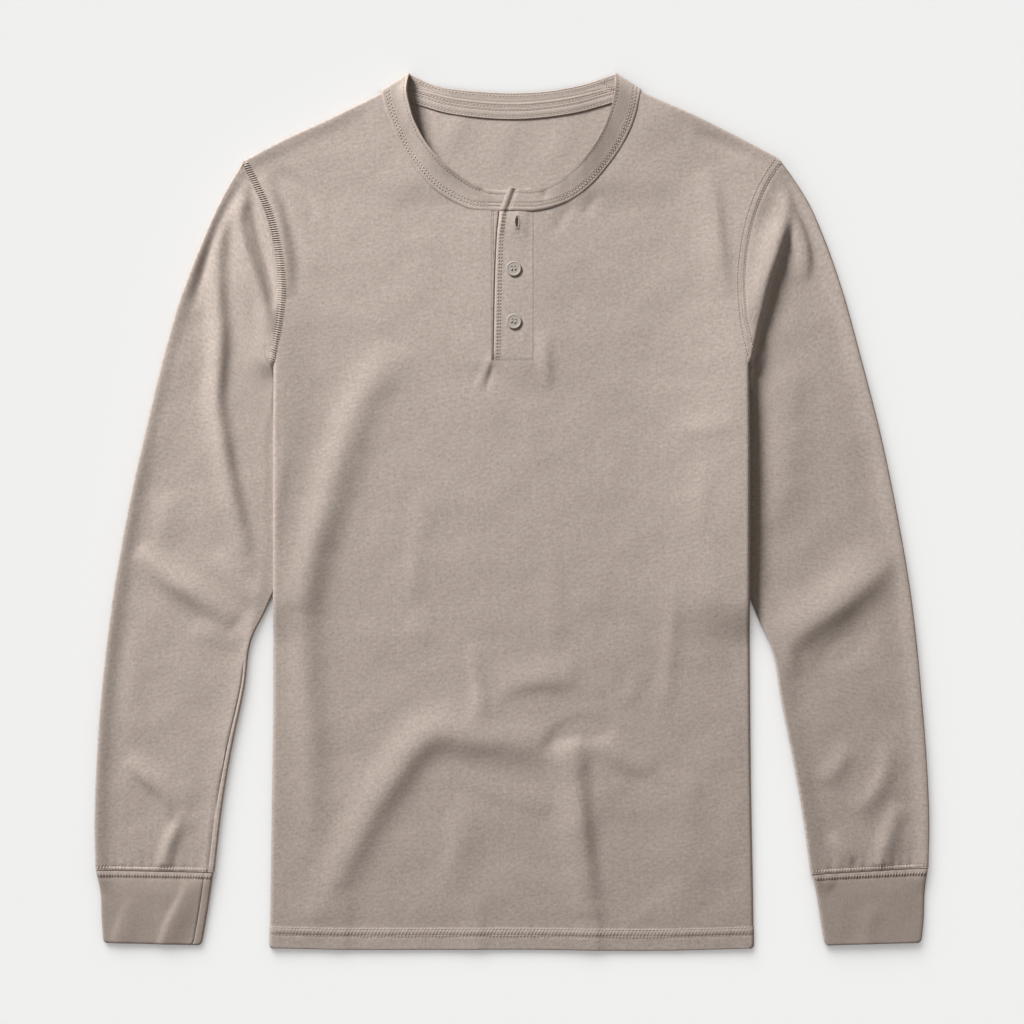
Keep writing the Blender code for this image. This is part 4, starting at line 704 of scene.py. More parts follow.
def knit_material(name, colour, wale=0.64, course=0.5, slub=0.19, fleck=0.31, depth=0.075, rib=0.0, ribs=0.3, sheen=0.08):
    """Heathered jersey: two-tone fibres in short streaks along the courses, and
    the columns of V-shaped stitches as relief. Sizes in millimetres."""
    mat = bpy.data.materials.new(name)
    mat.use_nodes = True
    tree = mat.node_tree
    shader = tree.nodes["Principled BSDF"]
    uv = tree.nodes.new("ShaderNodeUVMap")
    uv.uv_map = "cloth"
    place = node(tree, "ShaderNodeVectorMath", op="SCALE", in0=uv.outputs[0])
    place.inputs["Scale"].default_value = 1000.0
    at = place.outputs[0]
    split = tree.nodes.new("ShaderNodeSeparateXYZ")
    tree.links.new(at, split.inputs[0])
    u, v = split.outputs[0], split.outputs[1]

    streak = noise(tree, at, (5.6, 2.1), 2.0, 0.5, turn=12)
    grain = noise(tree, at, (2.3, 2.4), 2.0, 0.6, turn=14)
    wales = noise(tree, at, (2.2, 90.0), 1.0, 0.4)
    patch = noise(tree, at, (34.0, 26.0), 2.0, 0.5)
    tint = noise(tree, at, (7.0, 3.4), 2.0, 0.5, turn=10)
    # columns of stitches: two slanted legs in each wale
    wide = math_node(tree, "FRACT", math_node(tree, "DIVIDE", u, wale))
    leg = math_node(tree, "ABSOLUTE", math_node(tree, "MULTIPLY_ADD", wide, 2.0, -1.0))
    ridge = math_node(tree, "SUBTRACT", 1.0, math_node(tree, "ABSOLUTE", math_node(tree, "MULTIPLY_ADD", leg, 2.0, -1.0)))
    slant = math_node(tree, "MULTIPLY_ADD", leg, 0.55, math_node(tree, "DIVIDE", v, course))
    loop = math_node(tree, "MULTIPLY_ADD", math_node(tree, "SINE", math_node(tree, "MULTIPLY", slant, 2 * math.pi)), 0.5, 0.5)
    knit = math_node(tree, "MULTIPLY", ridge, math_node(tree, "MULTIPLY_ADD", loop, 0.6, 0.4))
    relief = math_node(tree, "MULTIPLY_ADD", grain, 0.35, knit)
    relief = math_node(tree, "MULTIPLY_ADD", streak, 0.25, relief)
    if rib:
        column = math_node(tree, "MULTIPLY_ADD", wales, 0.7, math_node(tree, "SINE", math_node(tree, "MULTIPLY", u, 2 * math.pi / rib)))
        relief = math_node(tree, "MULTIPLY_ADD", column, ribs, relief)

    value = math_node(tree, "MULTIPLY_ADD", streak, slub, 1.0)
    value = math_node(tree, "MULTIPLY_ADD", grain, fleck, value)
    value = math_node(tree, "MULTIPLY_ADD", patch, 0.04, value)
    value = math_node(tree, "MULTIPLY_ADD", wales, 0.04, value)
    value = math_node(tree, "MULTIPLY_ADD", knit, 0.03, math_node(tree, "SUBTRACT", value, 0.01))
    mix = tree.nodes.new("ShaderNodeMix")
    mix.data_type = "RGBA"
    mix.inputs["A"].default_value = (colour[0] * 1.018, colour[1] * 0.99, colour[2] * 0.975, 1)
    mix.inputs["B"].default_value = (colour[0] * 0.982, colour[1] * 1.01, colour[2] * 1.03, 1)
    tree.links.new(math_node(tree, "MULTIPLY_ADD", tint, 1.2, 0.5), mix.inputs["Factor"])
    shade = node(tree, "ShaderNodeVectorMath", op="SCALE", in0=mix.outputs["Result"])
    tree.links.new(value, shade.inputs["Scale"])
    tree.links.new(shade.outputs[0], shader.inputs["Base Color"])
    bump = tree.nodes.new("ShaderNodeBump")
    bump.inputs["Strength"].default_value = 1.0
    bump.inputs["Distance"].default_value = depth * MM
    tree.links.new(relief, bump.inputs["Height"])
    tree.links.new(bump.outputs[0], shader.inputs["Normal"])
    rough = math_node(tree, "MULTIPLY_ADD", grain, 0.04, 0.93)
    tree.links.new(rough, shader.inputs["Roughness"])
    shader.inputs["Specular IOR Level"].default_value = 0.18
    shader.inputs["Sheen Weight"].default_value = sheen
    shader.inputs["Sheen Roughness"].default_value = 0.45
    shader.inputs["Sheen Tint"].default_value = (0.9, 0.84, 0.8, 1)
    return mat


def thread_material(name, colour):
    """Twisted sewing thread."""
    mat = bpy.data.materials.new(name)
    mat.use_nodes = True
    tree = mat.node_tree
    shader = tree.nodes["Principled BSDF"]
    where = tree.nodes.new("ShaderNodeTexCoord").outputs["Object"]
    grain = node(tree, "ShaderNodeVectorMath", op="SCALE", in0=where)
    grain.inputs["Scale"].default_value = 1000.0
    n = noise(tree, grain.outputs[0], (0.35, 0.35), 2.0, 0.6)
    value = math_node(tree, "MULTIPLY_ADD", n, 0.16, 1.0)
    shade = tree.nodes.new("ShaderNodeVectorMath")
    shade.operation = "SCALE"
    shade.inputs[0].default_value = colour
    tree.links.new(value, shade.inputs["Scale"])
    tree.links.new(shade.outputs[0], shader.inputs["Base Color"])
    bump = tree.nodes.new("ShaderNodeBump")
    bump.inputs["Distance"].default_value = 0.06 * MM
    tree.links.new(n, bump.inputs["Height"])
    tree.links.new(bump.outputs[0], shader.inputs["Normal"])
    shader.inputs["Roughness"].default_value = 0.62
    shader.inputs["Specular IOR Level"].default_value = 0.35
    shader.inputs["Sheen Weight"].default_value = 0.2
    return mat


def button_material(name, colour):
    """Matt resin with a faint cloudy grain."""
    mat = bpy.data.materials.new(name)
    mat.use_nodes = True
    tree = mat.node_tree
    shader = tree.nodes["Principled BSDF"]
    where = tree.nodes.new("ShaderNodeTexCoord").outputs["Object"]
    grain = node(tree, "ShaderNodeVectorMath", op="SCALE", in0=where)
    grain.inputs["Scale"].default_value = 1000.0
    cloud = noise(tree, grain.outputs[0], (3.2, 2.2), 4.0, 0.6, turn=30)
    fine = noise(tree, grain.outputs[0], (0.5, 0.5), 2.0, 0.5)
    value = math_node(tree, "MULTIPLY_ADD", cloud, 0.10, math_node(tree, "MULTIPLY_ADD", fine, 0.03, 1.0))
    shade = tree.nodes.new("ShaderNodeVectorMath")
    shade.operation = "SCALE"
    shade.inputs[0].default_value = colour
    tree.links.new(value, shade.inputs["Scale"])
    tree.links.new(shade.outputs[0], shader.inputs["Base Color"])
    tree.links.new(math_node(tree, "MULTIPLY_ADD", cloud, 0.08, 0.42), shader.inputs["Roughness"])
    bump = tree.nodes.new("ShaderNodeBump")
    bump.inputs["Distance"].default_value = 0.02 * MM
    tree.links.new(fine, bump.inputs["Height"])
    tree.links.new(bump.outputs[0], shader.inputs["Normal"])
    return mat


JERSEY_COLOUR = (0.432, 0.368, 0.329)
JERSEY = knit_material("heathered_jersey", JERSEY_COLOUR)
BINDING = knit_material("folded_jersey", (0.425, 0.362, 0.322), slub=0.12, fleck=0.2)
CUFF_KNIT = knit_material("cuff_rib", (0.375, 0.314, 0.277), rib=1.9, ribs=0.25, slub=0.10, fleck=0.18, depth=0.09)
THREAD = thread_material("sewing_thread", (0.47, 0.40, 0.355))
# painted shade: near-black thread colour for strands laid where the needle holes' shadow falls
PAINTED_HOLE_SHADE = thread_material("needle_hole", (0.13, 0.105, 0.09))
RESIN = button_material("button_resin", (0.385, 0.345, 0.312))


# ---------------------------------------------------------------- armholes
ARM_STEPS = np.concatenate([spaced(1.0, (0, 0.001, 0.004, 0.0075, 0.0135, 0.022, 0.034), (0, 0.01, 0.02, 0.035), 0.0165)])


class Armhole:
    """Seam line round one armhole: front half and back half, shoulder to underarm."""

    def __init__(self, hand):
        k = 0 if hand < 0 else 2
        self.hand = hand
        steps = ARM_STEPS
        path = Path([(r[k], r[k + 1]) for r in ARMHOLE])
        self.length = path.length
        self.front = path.at(steps)
        wider = hand * BACK_ARMHOLE_OUT * np.sin(math.pi * steps) ** 1.3
        self.back = self.front + np.stack([wider, 0 * steps], axis=-1)
        chord = self.front[-1] - self.front[0]
        chord /= np.linalg.norm(chord)
        self.down = np.array([chord[0], chord[1], 0.0])
        self.across = hand * np.array([-chord[1], chord[0], 0.0])
        top = wrap(self.front[:, 0], self.front[:, 1], 1)
        low = wrap(self.back[:, 0], self.back[:, 1], -1)
        middle = (top + low) / 2
        half = (SEAM + (TIP_OPEN - SEAM) * ease((steps - 0.9) / 0.1)) / 2
        top[:, 2] = np.maximum(top[:, 2], middle[:, 2] + half)
        low[:, 2] = np.minimum(low[:, 2], middle[:, 2] - half)
        for end in (0, -1):
            top[end] = middle[end] + [0, 0, half[end]]
            low[end] = middle[end] - [0, 0, half[end]]
        ring = np.vstack([top, low[::-1]])
        n = np.cross(np.roll(ring, -1, axis=0) - np.roll(ring, 1, axis=0), self.across)
        n /= np.linalg.norm(n, axis=1)[:, None]
        n *= np.sign(n[len(steps) // 2, 2])
        self.top, self.low = top, low
        self.top_n, self.low_n = n[:len(steps)], n[len(steps):][::-1]
        tip = self.across * 0.85 + self.down * 0.527
        for line in (self.top_n, self.low_n):
            line[0], line[-1] = -self.down, tip
        self.tip_n = self.down * 0.8 - self.across * 0.6

    def read(self, line, at):
        return np.stack([np.interp(at, ARM_STEPS, line[:, k]) for k in range(line.shape[1])], axis=-1)


ARM = {-1: Armhole(-1), 1: Armhole(1)}
UNDER = {hand: ARM[hand].top[-1, :2] for hand in (-1, 1)}


def wrap_depth(y, hand):
    t = np.clip((UNDER[hand][1] - y) / (UNDER[hand][1] - WRAP_FULL_AT), 0, 1)
    return SIDE_WRAP * (1 - (1 - t) ** 2)


def tip_opening(y, hand):
    return (TIP_OPEN - SEAM) / 2 * np.exp(-((UNDER[hand][1] - y) / 7) ** 2)


def roll_offset(edge_to, hand, y, sign):
    """Cloth coordinate that lies edge_to past the fold's outermost line."""
    xl, xr = side_edges(y)
    edge = xl if hand < 0 else xr
    if sign > 0:
        return edge + hand * (0.5708 * ROLL + edge_to)
    return edge + hand * (0.5708 * ROLL - edge_to)


def hem_wall(points):
    x, y = points[:, 0], points[:, 1]
    depth = y - track(HEM, x, 1)
    wall = WALL + (WALL_HEM - WALL) * (1 - ease((depth - HEM_DEPTH) / 1.2))
    t = np.clip(depth / 0.9, 0, 1)
    return wall * (0.45 + 0.55 * np.sqrt(1 - (1 - t) ** 2))


# ---------------------------------------------------------------- front panel
def blend_patch(left, right, bottom, top, u, v):
    """Transfinite patch: left and right by rows, bottom and top by columns."""
    u, v = np.asarray(u)[None, :, None], np.asarray(v)[:, None, None]
    sides = (1 - u) * left[:, None, :] + u * right[:, None, :]
    ends = (1 - v) * bottom[None, :, :] + v * top[None, :, :]
    corners = ((1 - u) * (1 - v) * bottom[0] + u * (1 - v) * bottom[-1]
               + (1 - u) * v * top[0] + u * v * top[-1])
    return sides + ends - corners


ROLL_PAST = 10          # columns from the fold's outermost line to the side seam
ROLL_IN = (-0.25, -0.5, -0.75, -1.0)
SHOULDER_ROWS = (0.0, 0.08, 0.3, 0.6, 1.0, 1.8, 3.2, 5.4)


def build_front():
    net = Net()
    foot = PLACKET_FOOT_Y - SEAM / 2
    left_x, right_x = PLACKET_SEAM_X - SEAM / 2, PLACKET_RIGHT_X + SEAM / 2
    knees = np.array([UNDER[-1], (left_x, foot), (right_x, foot), UNDER[1]])
    rows = spaced(foot + 360.2, HEM_ROWS, (0, 1.2, 2.8), GRID + 0.1)
    share = rows / rows[-1]
    quarter = ROLL * math.pi / 2
    edge_l, edge_r = SIDE[6][1], SIDE[6][2]

    flat_l = edge_l + ROLL + spaced(left_x - edge_l - ROLL, (0, 1.4), NEAR_SEAM, GRID)[1:]
    flat_r = edge_r - ROLL - spaced(edge_r - ROLL - right_x, (0, 1.4), NEAR_SEAM, GRID)[1:]
    between = left_x + spaced(right_x - left_x, (0, 1.2, 2.6), (0, 1.2, 2.6), GRID)[1:-1]
    flat = np.concatenate([flat_l, between, flat_r[::-1]])
    base = track(HEM, flat, 1)
    top_y = np.interp(flat, knees[:, 0], knees[:, 1])
    y_flat = base + (top_y - base) * share[:, None]
    xl, xr = side_edges(y_flat)
    far = np.where(flat < 0, (flat - left_x) / (edge_l - left_x), (flat - right_x) / (edge_r - right_x))
    s_flat = flat + np.maximum(far, 0) * np.where(flat < 0, xl - edge_l, xr - edge_r)

    sides = {}
    for hand in (-1, 1):
        x0 = SIDE[0][1] if hand < 0 else SIDE[0][2]
        y = float(track(HEM, x0, 1)) + (UNDER[hand][1] - float(track(HEM, x0, 1))) * share
        end = np.maximum(wrap_depth(y, hand) - SEAM / 2 - tip_opening(y, hand), 0.05)
        first = np.minimum(quarter, 0.4 * end)
        past = [first * k / 4 for k in range(5)] + [first + (end - first) * k / 6 for k in range(1, 7)]
        s = np.stack([roll_offset(p, hand, y, 1) for p in past[::-1]]
                     + [roll_offset(k * quarter, hand, y, 1) for k in ROLL_IN], axis=-1)
        sides[hand] = (s, np.repeat(y[:, None], s.shape[1], axis=1))
    S = np.hstack([sides[-1][0], s_flat, sides[1][0][:, ::-1]])
    Y = np.hstack([sides[-1][1], y_flat, sides[1][1][:, ::-1]])
    points = wrap(S, Y, 1)
    index = net.add(points, np.stack([S, Y], axis=-1))
    net.fix(index[:-1, 0], wrap_normal(S[:-1, 0], Y[:-1, 0], 1))
    net.fix(index[:-1, -1], wrap_normal(S[:-1, -1], Y[:-1, -1], 1))
    tips = {}
    for hand in (-1, 1):
        arm = ARM[hand]
        tips[hand] = net.add((arm.top[-1] - arm.across * SEAM / 2)[None], arm.top[-1:, :2])[0]
        net.fix(tips[hand], arm.top_n[-1])
    index[-1, :ROLL_PAST + 1] = tips[-1]
    index[-1, -ROLL_PAST - 1:] = tips[1]
    near_slit = np.abs(np.concatenate([[99] * sides[-1][0].shape[1], flat, [99] * sides[-1][0].shape[1]])) < 17
    net.fix(index[-1, near_slit], (0, 0, 1))
    net.weave(index)

    # the two upper parts, from the underarm row to the shoulder
    n_roll = ROLL_PAST + len(ROLL_IN)
    for hand, rows_neck, first in ((-1, NECK_LEFT, 3), (1, NECK_RIGHT, 2)):
        arm = ARM[hand]
        if hand < 0:
            cols = np.arange(ROLL_PAST, n_roll + 1 + len(flat_l))
        else:
            cols = np.arange(index.shape[1] - 1 - ROLL_PAST, index.shape[1] - n_roll - 2 - len(flat_r), -1)
        low_line = index[-1, cols]
        pts = np.vstack(net.points)
        bottom = pts[low_line][:, :2].copy()
        bottom[0] = UNDER[hand]
        seam_x = left_x if hand < 0 else right_x
        bottom[-1] = (seam_x, foot)
        # inner border: up the slit, then round the neck to the shoulder
        band = Path(rows_neck[first:], measure=2)
        slit = float(rows_neck[first][1]) - foot
        rise = spaced(slit, (0, 1.2), (0, 1.2), GRID)
        along = spaced(band.length, (0, 1.0), SHOULDER_ROWS, 2.6)
        neck = offset_line(band.at(along / band.length)[:, :2], -SEAM * hand)
        neck[0] = (seam_x, neck[0, 1])
        left_over = band.length - along
        line = track(SHOULDER, np.abs(neck[:, 0]), 1 if hand < 0 else 2) - 1.12 * left_over
        blend = 1 - ease((left_over - ROLL) / 4)
        neck[:, 1] += (line - neck[:, 1]) * blend
        neck[-1] = (hand * (NECK_CORNER + 0.1), track(SHOULDER, NECK_CORNER + 0.1, 1 if hand < 0 else 2))
        t = (rise[:-1] / slit)[:, None]
        inner = np.vstack([bottom[-1] + (neck[0] - bottom[-1]) * t, neck])
        # outer border: the armhole, in as many steps
        count = len(inner)
        close = len(SHOULDER_ROWS)
        steps = np.concatenate([np.linspace(0, arm.length - SHOULDER_ROWS[-1], count - close + 1)[:-1],
                                (arm.length - np.array(SHOULDER_ROWS))[::-1]])
        at = 1 - steps / arm.length
        outer = arm.read(arm.front, at)
        u = np.linalg.norm(bottom - bottom[0], axis=1) / np.linalg.norm(bottom[-1] - bottom[0])
        run = np.concatenate([[0], np.cumsum(np.linalg.norm(np.diff(inner, axis=0), axis=1))])
        v = ((1 - at) + run / run[-1]) / 2
        top_line = outer[-1] + (inner[-1] - outer[-1]) * u[:, None]
        top_line[:, 1] = track(SHOULDER, np.abs(top_line[:, 0]), 1 if hand < 0 else 2)
        plan = blend_patch(outer, inner, bottom, top_line, u, v)
        plan[-1, :, 1] = track(SHOULDER, np.abs(plan[-1, :, 0]), 1 if hand < 0 else 2)
        plan = plan[1:]
        pts = wrap(plan[..., 0], plan[..., 1], 1)
        pts[:, 0] = (arm.read(arm.top, at) - arm.across * SEAM / 2)[1:]
        block = net.add(pts, plan)
        net.fix(block[:, 0], arm.read(arm.top_n, at)[1:])
        net.fix(block[-1, 1:], (hand * 0.46, 0.89, 0))
        turn = np.clip(1 - left_over[-len(block):] / (1.1 * ROLL), 0, 1)[:-1] if len(left_over) >= len(block) else None
        near = np.clip(1 - left_over / (1.1 * ROLL), 0, 1)
        tail = min(len(near), len(block)) - 1
        t = near[-tail - 1:-1][:, None]
        net.fix(block[-tail - 1:-1, -1], np.hstack([hand * 0.46 * t, 0.89 * t, 1 - 0.6 * t]))
        block = np.vstack([low_line[None], block])
        net.weave(block if hand < 0 else block[:, ::-1])
    return shell("front_cloth", net, hem_wall, JERSEY)


# ---------------------------------------------------------------- back panel
def build_back():
    net = Net()
    foot = 125.0
    step = GRID + 1.6
    close = (0.0, 0.9, 1.8, 2.7, 3.6, 4.5, 5.6, 7.4, 10.0, 13.4)
    count = int((2 * NECK_CORNER) / step)
    wing = int((219 - NECK_CORNER) / step)
    total = 2 * wing + count + 1
    rows = spaced(foot + 360.2, HEM_ROWS[::2], (0, 1.2, 2.8), step)
    share = rows / rows[-1]
    ends = {}
    for hand in (-1, 1):
        x0 = SIDE[0][1] if hand < 0 else SIDE[0][2]
        base = float(track(HEM, x0, 1))
        y = base + (UNDER[hand][1] - base) * share
        past = wrap_depth(y, hand) + SEAM / 2 + tip_opening(y, hand)
        ends[hand] = (roll_offset(past, hand, y, -1), y)
    # cloth between the two side seams, closer together beside them
    S = np.zeros((len(share), total))
    for r in range(len(share)):
        width = ends[1][0][r] - ends[-1][0][r]
        n = total - 2 * len(close) + 2
        mid = np.linspace(close[-1], width - close[-1], n)
        S[r] = ends[-1][0][r] + np.concatenate([close[:-1], mid, (width - np.array(close[:-1]))[::-1]])
    base = track(HEM, np.clip(S, -199, 199), 1)
    top = np.interp(S, [UNDER[-1][0], UNDER[1][0]], [UNDER[-1][1], UNDER[1][1]])
    Y = base + (top - base) * share[:, None]
    Y[:, 0], Y[:, -1] = ends[-1][1], ends[1][1]
    index = net.add(wrap(S, Y, -1), np.stack([S, Y], axis=-1))
    net.fix(index[:-1, 0], wrap_normal(S[:-1, 0], Y[:-1, 0], -1))
    net.fix(index[:-1, -1], wrap_normal(S[:-1, -1], Y[:-1, -1], -1))
    for hand, c in ((-1, 0), (1, -1)):
        arm = ARM[hand]
        index[-1, c] = net.add((arm.low[-1] - arm.across * SEAM / 2)[None], arm.low[-1:, :2])[0]
        net.fix(index[-1, c], arm.low_n[-1])
    # upper part: armhole to armhole, up to the shoulders and the back neck
    bottom = np.vstack(net.points)[index[-1]][:, :2].copy()
    bottom[0], bottom[-1] = UNDER[-1], UNDER[1]
    close_up = len(SHOULDER_ROWS)
    arm_l, arm_r = ARM[-1], ARM[1]
    steps = np.concatenate([np.linspace(0, arm_l.length - SHOULDER_ROWS[-1], int(arm_l.length / step))[:-1],
                            (arm_l.length - np.array(SHOULDER_ROWS))[::-1]])
    at = 1 - steps / arm_l.length
    left, right = arm_l.read(arm_l.back, at), arm_r.read(arm_r.back, at)
    left[0], right[0] = UNDER[-1], UNDER[1]
    v = 1 - at
    back = Path(NECK_BACK, measure=2)
    along = spaced(back.length, (0, 0.3, 0.9, 1.8, 3.0), (0, 0.3, 0.9, 1.8, 3.0), back.length / (count - 8))
    along = np.interp(np.linspace(0, 1, count + 1), np.linspace(0, 1, len(along)), along)
    neck = offset_line(back.at(along / back.length)[:, :2], -SEAM)
    neck[:, 1] -= 2.1 * np.exp(-((NECK_CORNER - np.abs(neck[:, 0])) / 6) ** 2)
    for end, column in ((0, 1), (-1, 2)):
        neck[end] = (math.copysign(NECK_CORNER - 0.1, neck[end, 0]), track(SHOULDER, NECK_CORNER, column))
    wings = {}
    for hand, corner in ((-1, neck[0]), (1, neck[-1])):
        x = np.linspace(ARM[hand].top[0, 0], corner[0], wing + 1)[:-1]
        wings[hand] = np.stack([x, track(SHOULDER, np.abs(x), 1 if hand < 0 else 2)], axis=-1)
    top = np.vstack([wings[-1], neck, wings[1][::-1]])
    u_top = (top[:, 0] - top[0, 0]) / (top[-1, 0] - top[0, 0])
    u_low = (bottom[:, 0] - bottom[0, 0]) / (bottom[-1, 0] - bottom[0, 0])
    vv = v[:, None]
    u = u_low + (u_top - u_low) * ease(vv * 1.1)
    sides = (1 - u)[..., None] * left[:, None] + u[..., None] * right[:, None]
    sag_low = bottom - ((1 - u_low)[:, None] * bottom[0] + u_low[:, None] * bottom[-1])
    sag_top = top - ((1 - u_top)[:, None] * top[0] + u_top[:, None] * top[-1])
    plan = sides + (sag_low * [0, 1])[None] * (1 - vv)[..., None] + (sag_top * [0, 1])[None] * (vv ** 3)[..., None]
    plan[-1] = top
    plan = plan[1:]
    pts = wrap(plan[..., 0], plan[..., 1], -1)
    for arm, c in ((arm_l, 0), (arm_r, -1)):
        pts[:, c] = (arm.read(arm.low, at) - arm.across * SEAM / 2)[1:]
    block = net.add(pts, plan)
    net.fix(block[:, 0], arm_l.read(arm_l.low_n, at)[1:])
    net.fix(block[:, -1], arm_r.read(arm_r.low_n, at)[1:])
    edge = np.sign(top[:, 0]) * 0.46
    gap = np.clip((NECK_CORNER - np.abs(top[:, 0])) / 2.2, 0, 1)
    turn = 1 - gap
    normals = np.stack([edge * turn, 0.89 * turn, turn - 1], axis=-1)
    net.fix(block[-1, 1:-1], normals[1:-1])
    index = np.vstack([index, block])
    net.weave(index[:, ::-1])
    return shell("back_cloth", net, hem_wall, JERSEY)


# ---------------------------------------------------------------- sleeves
def slant_roll(tangent, section):
    """How wide the rolled edge is along a section that meets the edge at a slant."""
    cross = abs(tangent[0] * section[1] - tangent[1] * section[0])
    sine = cross / np.linalg.norm(tangent) / np.linalg.norm(section)
    return min(ROLL / max(sine, 0.01), ARM_ROLL)


def sleeve_cap(x, y):
    """Highest place for the sleeve's upper wall where the body lies over it."""
    xl, xr = side_edges(y)
    outside = np.maximum(xl - x, x - xr)
    clear = np.where(x < 0, 9 * ease((outside + 1.5) / 9) * ease((y - 68) / 54), 30 * ease((outside + 1.5) / 7) * ease((y - 92) / 34))
    return SLEEVE_UNDER + np.maximum(outside - 3.0, 0) * 0.16 + 30 * ease((outside - 26) / 20) + np.maximum(clear, 30 * ease((y - 118) / 12))


# the cloth beside the right armhole stays up as far as this line, then falls away
WEDGE = (
    (98, 192.0),
    (127, 196.0),
    (148, 200.4),
    (168, 205.6),
    (188, 210.4),
    (205, 216.0),
    (220, 220.8),
    (240, 225.6),
    (264, 229.2),
)


def sleeve_walls(x, y, d_out, d_in, d_end, hand, folds):
    """Middles of the upper and lower wall of a sleeve at a place in plan."""
    arm = ARM[hand]
    seam = arm.read(arm.front, np.linspace(0, 1, 90))
    away = np.hypot(x[:, None] - seam[None, :, 0], y[:, None] - seam[None, :, 1])
    near = seam[np.argmin(away, axis=1)]
    away = away.min(axis=1)
    high = SLEEVE_FLAT + (SLEEVE_EDGE - SLEEVE_FLAT) * (bell(d_out, 9) + 0.75 * bell(d_in, 11))
    if hand < 0:
        high = high + (0.8 + 0.8 * ease((y - 140) / 60)) * bell(d_out - 1.5, 6.2)
    high = np.minimum(high, sleeve_cap(x, y))
    inside = np.clip((np.minimum(d_out, d_in) - 2) / 12, 0, 1)
    reach = bell(away, 15)
    if hand > 0:
        here = ease((y - 96) / 20) * (1 - ease((y - 222) / 26))
        fall = 1 - ease((x - track(WEDGE, y, 1) + 1.0) / 7.5)
        reach = reach + (fall - reach) * here
    else:
        reach = reach * ease((y - 98) / 30)
    high = high + (upper_wall(near[:, 0], near[:, 1]) - high) * reach
    high = high + (fold_height(x, y, folds) + ripple(x + 40, y - 25, 1.15) * (1 - bell(away, 12))) * inside * (1 - bell(away, 3.2)) * (1 - 0.9 * bell(d_end, 3.6))
    low = FLOOR + (lower_wall(near[:, 0], near[:, 1]) - FLOOR) * bell(away, 12)
    # drawn in at the armhole's stitches, and gathered into the cuff
    high = high - 0.35 * bell(away - 3.2, 1.1) + 0.25 * bell(away - 1.2, 0.9)
    gather = 0.30 * np.sin(2 * math.pi * x / 8.3 + 1.9 * np.sin(x / 17.0)) * bell(d_end - 5, 6)
    high = high + (0.75 * bell(d_end - 1.3, 1.5) - 0.35 * bell(d_end - 3.4, 0.8) + gather) * inside
    high = np.minimum(high, sleeve_cap(x, y))
    return np.maximum(high, low + 2.1), low


def seam_groove(y, d_in, hand):
    """The underarm seam, which has rolled a little to the front below the elbow."""
    if hand < 0:
        line = np.interp(y, (-293, -132), (5.0, 2.4))
        seen = ease((-118 - y) / 16)
    else:
        line = np.interp(y, (-293, -228), (6.0, 5.4))
        seen = bell(y + 252, 22)
    return seen * (-1.0 * bell(d_in - line, 0.75) + 0.3 * bell(d_in - line - 1.6, 0.9))


ROUND = 1 - np.cos(np.linspace(0, math.pi / 2, 7))
SEAM_SIDE = (1.15, 1.4, 1.7, 2.0, 2.35, 2.7, 3.1, 3.7, 4.5)


